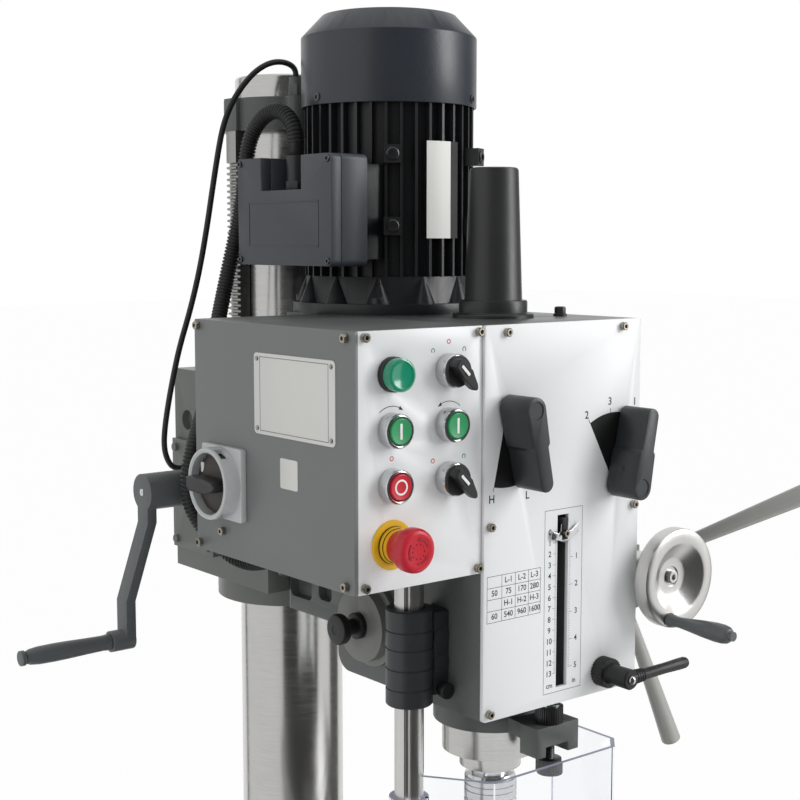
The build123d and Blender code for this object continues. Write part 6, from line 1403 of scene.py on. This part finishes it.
# %% Fine-feed wheel and grip
FINE = (130, 100)
FINE_BACK = -9
WHEEL_PROFILE = [(0, -48.7), (17.6, -48.7), (17.8, -48), (17.8, -0.6), (18.6, 0), (44.4, 0), (46.6, 0.8),
                 (47.5, 2.6), (47.5, 13.4), (46.8, 15.2), (45, 16), (34.6, 16), (33.4, 15.5), (32.4, 14.6),
                 (18.8, 5.6), (17.2, 5.0), (10, 5.0), (9.4, 4.4), (9.4, 3.6), (0, 3.6)]
wheel = turned("fine_wheel_body", WHEEL_PROFILE, at_head(FINE[0], FINE_BACK, FINE[1]), "front", 80, 25)
centre_bolt = cap_screw("centre_bolt", 6.4, 4.6, 3.0, 3.0)
placed(centre_bolt, at_head(FINE[0], FINE_BACK - 3.6, FINE[1]), "front")
wheel = joined("fine_wheel_body", [wheel, centre_bolt])
fit(wheel, "fine_wheel", "bright_aluminium", finishes["bright_aluminium"], "fine_feed_wheel")
GRIP_PROFILE = [(0, 0.3), (6.2, 0.3), (6.9, 1.2), (6.4, 4), (5.2, 9), (5.0, 13), (6.0, 24), (7.9, 42),
                (8.9, 56), (8.8, 64), (7.8, 69), (6.2, 71.4), (4.6, 72), (4.4, 76), (0, 76.2)]
grip = turned("fine_grip_body", GRIP_PROFILE, at_head(115.67, -25, 62.66), "front", 36)
fit(grip, "fine_grip", "crank_paint", finishes["crank_paint"], "fine_feed_grip")
print("fine feed:", wheel.name, grip.name)

# %% Spring knob, guard knob and crank grip
BOBBIN = [(0, 0.2), (12.5, 0.2), (12.5, 5), (11.6, 6), (7.5, 6.6), (7.3, 12), (7.5, 17.4), (11, 18.2),
          (13.6, 18.8), (14.5, 20.4), (14.5, 25.6), (13.8, 27), (12.4, 27.7), (5, 27.7), (4.4, 27.2),
          (0, 27.2)]
bobbin = turned("spring_bobbin", BOBBIN, at_head(-112.3, 158.25, 57), "left", 40)
fit(bobbin, "spring_knob", "black_plastic", finishes["black_plastic"], "spring_knob")
THUMB = [(0, 0), (4, 0), (4, 4), (7, 4.4), (7.5, 5.2), (7.5, 10.8), (6.9, 11.8), (6, 12), (0, 11.7)]
thumb = turned("guard_thumb", THUMB, at_head(-106, 46.7, 22), "front", 28)
fit(thumb, "guard_knob", "black_plastic", finishes["black_plastic"], "guard_knob")
CRANK_GRIP = [(0, 0), (7.2, 0), (7.8, 1.2), (7.2, 8), (7.6, 24), (8.3, 44), (8.5, 58), (8.2, 72),
              (7.2, 80), (5.6, 84), (4, 85), (0, 85)]
grip_low, grip_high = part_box("crank_grip")
grip_root = (grip_low + grip_high) / 2
grip_root.x = grip_high.x
handle = turned("crank_handle", CRANK_GRIP, grip_root, "left", 36)
fit(handle, "crank_grip", "black_plastic", finishes["crank_paint"], "crank_grip")
PIN_PROFILE = [(0, 0), (3.6, 0), (3.4, 0.6), (0.8, 0.7), (0, 0.2)]
crank_pin = turned("crank_pin", PIN_PROFILE, at_head(-262, 300, 181), "left", 24)
fit(crank_pin, "lift_crank", "bright_steel", finishes["chrome_trim"])
print("knobs and grips:", bobbin.name, thumb.name, handle.name)

# %% Quill lock
LOCK = (50.5, 20)
KNURL = 0.7
HUB_PROFILE = [(0, 0), (10, 0), (9.2, 3), (9.4, 18), (9.5, 24.8), (8.4, 26.2), (0, 26.2)]
ARM_Y = -33.4
ARM_PROFILE = [(0, 0), (6.2, 0), (6.4, 5), (6.1, 11), (5.6, 17), (5.2, 27), (5.0, 50), (5.3, 62),
               (5.5, 70), (5.5, 77), (4.8, 79.6), (0, 79.6)]
BALL_PROFILE = [(0, 28.6), (4.2, 28.6), (4.0, 30), (3.0, 31.2), (1.6, 31.8), (0, 32)]


def knurled(name, radius, height, teeth, place, facing, edge=0.5):
    """A disc with a ridged rim, cut out of a wavy outline."""
    outline = []
    for tooth in range(teeth):
        start = 360 * tooth / teeth
        outline += arc(radius, start, start + 180 / teeth, 1)
        outline += arc(radius - KNURL, start + 210 / teeth, start + 330 / teeth, 1)
    return outlined(name, outline, height, place, facing, edge)


flange = knurled("lock_flange", 14, 12.4, 30, at_head(LOCK[0], -0.3, LOCK[1]), "front")
hub = turned("lock_hub", HUB_PROFILE, at_head(LOCK[0], -12.5, LOCK[1]), "front", 36)
along_arm = turn_of((90 - math.degrees(math.atan2(1, 73.5)), "Y"))
arm = turned("lock_arm", ARM_PROFILE, at_head(LOCK[0], ARM_Y, LOCK[1]), along_arm, 28)
ribs = []
for rib in range(4):
    foot = 6.0 - rib * 0.2
    section = [(foot, 0), (foot + 0.8, 0.5), (foot + 0.8, 1.3), (foot, 1.8), (foot, 0)]
    spot = at_head(LOCK[0] + 8 + rib * 3.2, ARM_Y, LOCK[1] + 0.1 + rib * 0.04)
    ribs.append(turned("lock_rib", section, spot, along_arm, 24))
lock = joined("lock_lever", [flange, hub, arm] + ribs)
fit(lock, "quill_lock", "black_plastic", finishes["black_plastic"], "quill_lock_lever")
ball = turned("lock_ball", BALL_PROFILE, at_head(LOCK[0], -10.2, LOCK[1]), "front", 24)
fit(ball, "quill_lock", "bright_steel", finishes["chrome_trim"])
print("quill lock:", len(ribs), "ribs on its arm")

# %% [markdown]
# ## Depth stop and chuck
# A threaded rod hangs from the quill's clamp behind the panel's slot. Its bright pointer slides on
# the scale, and a knurled nut under the panel sets the depth. The thread is a zigzag in the rod's
# section: at this size rings look the same as a true helix.

# %% Depth rod
ROD = (-1.5, 15)
THREAD_FROM = -56
THREAD_PITCH = 1.6
THREAD_TURNS = 21
thread = [(0, -70), (4.6, -70)]
for turn in range(THREAD_TURNS):
    crest = THREAD_FROM + turn * THREAD_PITCH
    thread += [(5.5, crest), (4.9, crest + THREAD_PITCH / 2)]
thread += [(5.4, -22), (5.4, 165), (4.6, 166), (0, 166)]
rod = turned("depth_screw", thread, at_head(*ROD, 0), sides=32)
upper_nut = knurled("depth_nut", 13, 16, 36, at_head(*ROD, -22), "up", 0.7)
lower_nut = knurled("depth_foot", 12, 14, 32, at_head(*ROD, -70), "up", 0.7)
rod = joined("depth_screw", [rod, upper_nut, lower_nut])
fit(rod, "quill", "dark_steel", finishes["dark_steel"], "depth_rod")
NUT_RING = [(6, 0), (10.4, 0), (10.4, 1.4), (9.8, 2), (6, 2), (6, 0)]
shine = turned("nut_ring", NUT_RING, at_head(*ROD, -6), sides=32)
fit(shine, "quill", "bright_steel", finishes["chrome_trim"])
POINTER = ((-16.5, -5), (-16.5, 2.5), (-8, -0.5), (-4.6, 1.5), (-4.4, 6.5), (-2.6, 9), (1, 9.6), (3.4, 8),
           (4.2, 5), (4.4, 1.5), (8, 0.5), (17, 6.5), (17, -1.5), (9, -6.5), (0, -9.5), (-9, -6.5))
pointer = outlined("depth_pointer", POINTER, 1.4, at_head(ROD[0], -1.2, 158), "front", 0.25)
fit(pointer, "quill", "bright_steel", finishes["chrome_trim"])
post = boxed("pointer_post", (ROD[0] - 3.6, -3, 151), (ROD[0] + 3.6, 10, 171), 0.6)
fit(post, "quill", "dark_steel", slot_black)
pointer_screw = cap_screw("pointer_screw", 3.4, 3.4, 1.8, 2.0)
placed(pointer_screw, at_head(ROD[0], -2.6, 157), "front")
fit(pointer_screw, "quill", "screw_steel", finishes["screw_steel"])
print("depth rod:", THREAD_TURNS, "turns of thread")

# %% Keyless chuck
GRIP_PITCH = 6


def grooved(low, count):
    """The section of a few grip rings, the lowest of them starting at a height."""
    section = []
    for groove in range(count):
        foot = low + groove * GRIP_PITCH
        section += [(25, foot), (25, foot + 4.4), (24.3, foot + 5.0), (24.3, foot + 5.6)]
    return section


chuck_profile = [(6.5, -170.3), (13.4, -170.3), (14, -169.4), (15.6, -165), (24.6, -150.6)]
chuck_profile += grooved(-148, 4)
chuck_profile += [(25, -123.6), (25, -119), (23.8, -117.6), (23.8, -116.4), (25, -115)]
chuck_profile += grooved(-113, 3)
chuck_profile += [(24.6, -95), (23.4, -92.6), (18, -92.3), (18, -84.6), (6.5, -84.6), (6.5, -170.3)]
chuck = turned("drill_chuck", chuck_profile, at_head(0, 97, 0), sides=64, crease=30)
fit(chuck, "spindle", "chrome_trim", finishes["chrome_trim"], "keyless_chuck")
print("chuck section:", len(chuck_profile), "points")

# %% [markdown]
# ## Guard
# The guard hangs on a fluted post, held by a moulded black clamp on the gear case. The clamp's sleeve
# is turned with shallow seams in its section, and its web carries two raised pads.

# %% Guard clamp
POST = (-130, 60.7)
SEAMS = (26, 44, 62, 78)
sleeve_profile = [(13.6, 10), (19.8, 10), (21, 11.2)]
for seam in SEAMS:
    sleeve_profile += [(21, seam - 0.9), (20.2, seam - 0.4), (20.2, seam + 0.4), (21, seam + 0.9)]
sleeve_profile += [(21, 95.8), (19.8, 97), (13.6, 97), (13.6, 10)]
sleeve = turned("clamp_sleeve", sleeve_profile, at_head(*POST, 0), sides=64)
web = boxed("clamp_web", (-113, 47, 16), (-95.2, 75, 92), 2.0)
pads = [
    outlined("clamp_pad", rounded(17, 15, 6), 1.0, at_head(-104.5, 47.2, middle), "front", 0.5)
    for middle in (69, 45)
]
clamp = joined("guard_bracket", [sleeve, web] + pads)
fit(clamp, "head", "black_plastic", lever_black, "guard_clamp")
print("guard clamp:", len(SEAMS), "seams,", len(pads), "pads")

# %% [markdown]
# A face of the sheet is an edge when it looks up or down, or when it is one long narrow strip away
# from the sleeve. Those faces take the second finish, the painted glow of the edges.

# %% Guard sheet
guard = softened("guard_sheet", "guard_shield", 0.0)
guard.data.materials.clear()
guard.data.materials.append(finishes["clear_plastic"])
guard.data.materials.append(edge_glow_coat)
THICK = 4.6 * MM
LONG = 100 * MM
SLEEVE_ROOM = 26 * MM
post_axis = at_head(*POST, 0)
corners = guard.data.vertices
for face in guard.data.polygons:
    spans = sorted((corners[a].co - corners[b].co).length for a, b in face.edge_keys)
    narrow = len(face.vertices) <= 4 and spans[0] < THICK and spans[-1] > LONG
    away = (face.center - post_axis).to_2d().length > SLEEVE_ROOM
    level = abs(face.normal.z) > 0.5
    face.material_index = 1 if level or (narrow and away) else 0
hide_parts("guard_shield")
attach(guard, "guard_shield")
print("guard sheet:", len(guard.data.polygons), "faces")

# %% [markdown]
# ## Light and stage
# The photograph was taken in a white studio: soft light from all round, and a large key light from
# the front right that throws short shadows down to the left. World and floor are white to the camera
# and in reflections, and the world is dimmer as a light.

# %% World


def seen_rays(tree):
    """One for the rays that look, straight, in a mirror or through glass, and zero for light."""
    rays = add(tree, "LightPath")
    seen = sums(tree, "MAXIMUM", rays.outputs["Is Camera Ray"], rays.outputs["Is Glossy Ray"])
    return sums(tree, "MAXIMUM", seen, rays.outputs["Is Transmission Ray"])


world = bpy.data.worlds.new("studio")
bpy.context.scene.world = world
world.use_nodes = True
tree = world.node_tree
background = tree.nodes["Background"]
AMBIENT = 0.52
strength = sums(tree, "MULTIPLY_ADD", seen_rays(tree), 1.0 - AMBIENT, AMBIENT)
tree.links.new(strength, background.inputs["Strength"])
background.inputs["Color"].default_value = (1, 1, 1, 1)
print("the world lights at", AMBIENT)

# %% Floor
FLOOR_SIZE = 40
FLOOR_GAP = 0.5 * MM
FLOOR_GLOW = 0.97
bpy.ops.object.select_all(action="DESELECT")
bpy.ops.mesh.primitive_plane_add(size=FLOOR_SIZE, location=(0, 0, cad_box[0][2] - FLOOR_GAP))
floor = bpy.context.object
floor.name = "studio_floor"
floor_finish, tree, pale = new_finish("studio floor")
pale.inputs["Base Color"].default_value = (0.86, 0.86, 0.86, 1)
pale.inputs["Roughness"].default_value = 0.9
glow = add(tree, "Emission", {"Color": (1, 1, 1, 1), "Strength": 1.0})
mixed(tree, sums(tree, "MULTIPLY", seen_rays(tree), FLOOR_GLOW), pale, glow)
floor.data.materials.append(floor_finish)
print("floor at", round(floor.location.z, 4))

# %% Lamps
AIM = at_head(-40, 120, 260)


def soft_lamp(name, place, width, height, power):
    """A lamp with an oblong face that looks at the head."""
    bpy.ops.object.select_all(action="DESELECT")
    bpy.ops.object.light_add(type="AREA", location=place)
    lamp = bpy.context.object
    lamp.name = name
    lamp.data.energy = power
    lamp.data.shape = "RECTANGLE"
    lamp.data.size = width
    lamp.data.size_y = height
    lamp.rotation_euler = (AIM - Vector(place)).to_track_quat("-Z", "Y").to_euler()


soft_lamp("key_lamp", (1.75, -1.95, 1.9), 1.1, 2.0, 46)
soft_lamp("fill_lamp", (-2.6, -0.9, 1.5), 1.6, 1.6, 10)
print("lamps look at", [round(v, 3) for v in AIM])

# %% [markdown]
# A polished cylinder shows a band for each part of the room. So boards stand round the column, each
# between two angles and with its own grey, and a mat of the same grey lies in front of each. Only
# reflections see them: dark in front, a narrow dark one to the right, and a soft grey to the left and
# behind.

# %% Boards
BOARD_AWAY = 1500
BOARD_HEIGHT = 4000
BOARD_THICK = 1.0
BOARD_STEPS = 12
BOARDS = ((-145, -64, 0.07), (-29, 4, 0.14), (104, 112, 0.12), (112, 215, 0.85))
column_low, column_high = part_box("column_tube")
column_foot = (column_low + column_high) / 2
column_foot.z = cad_box[0][2]
for number, (start, end, grey) in enumerate(BOARDS):
    board_finish = new_finish(f"board {number}")[0]
    tree = board_finish.node_tree
    glow = add(tree, "Emission", {"Color": (grey, grey, grey, 1)})
    tree.links.new(glow.outputs[0], tree.nodes["Material Output"].inputs["Surface"])
    rim = arc(BOARD_AWAY, start, end, BOARD_STEPS)
    back = arc(BOARD_AWAY + BOARD_THICK, end, start, BOARD_STEPS)
    wall = outlined(f"board_{number}", rim + back, BOARD_HEIGHT, column_foot, "up")
    mat = outlined(f"board_mat_{number}", [(0, 0)] + rim, BOARD_THICK, column_foot, "up")
    for board in (wall, mat):
        board.data.materials.append(board_finish)
        board.visible_camera = False
        board.visible_diffuse = False
        board.visible_shadow = False
        board.visible_transmission = False
print("boards:", len(BOARDS))
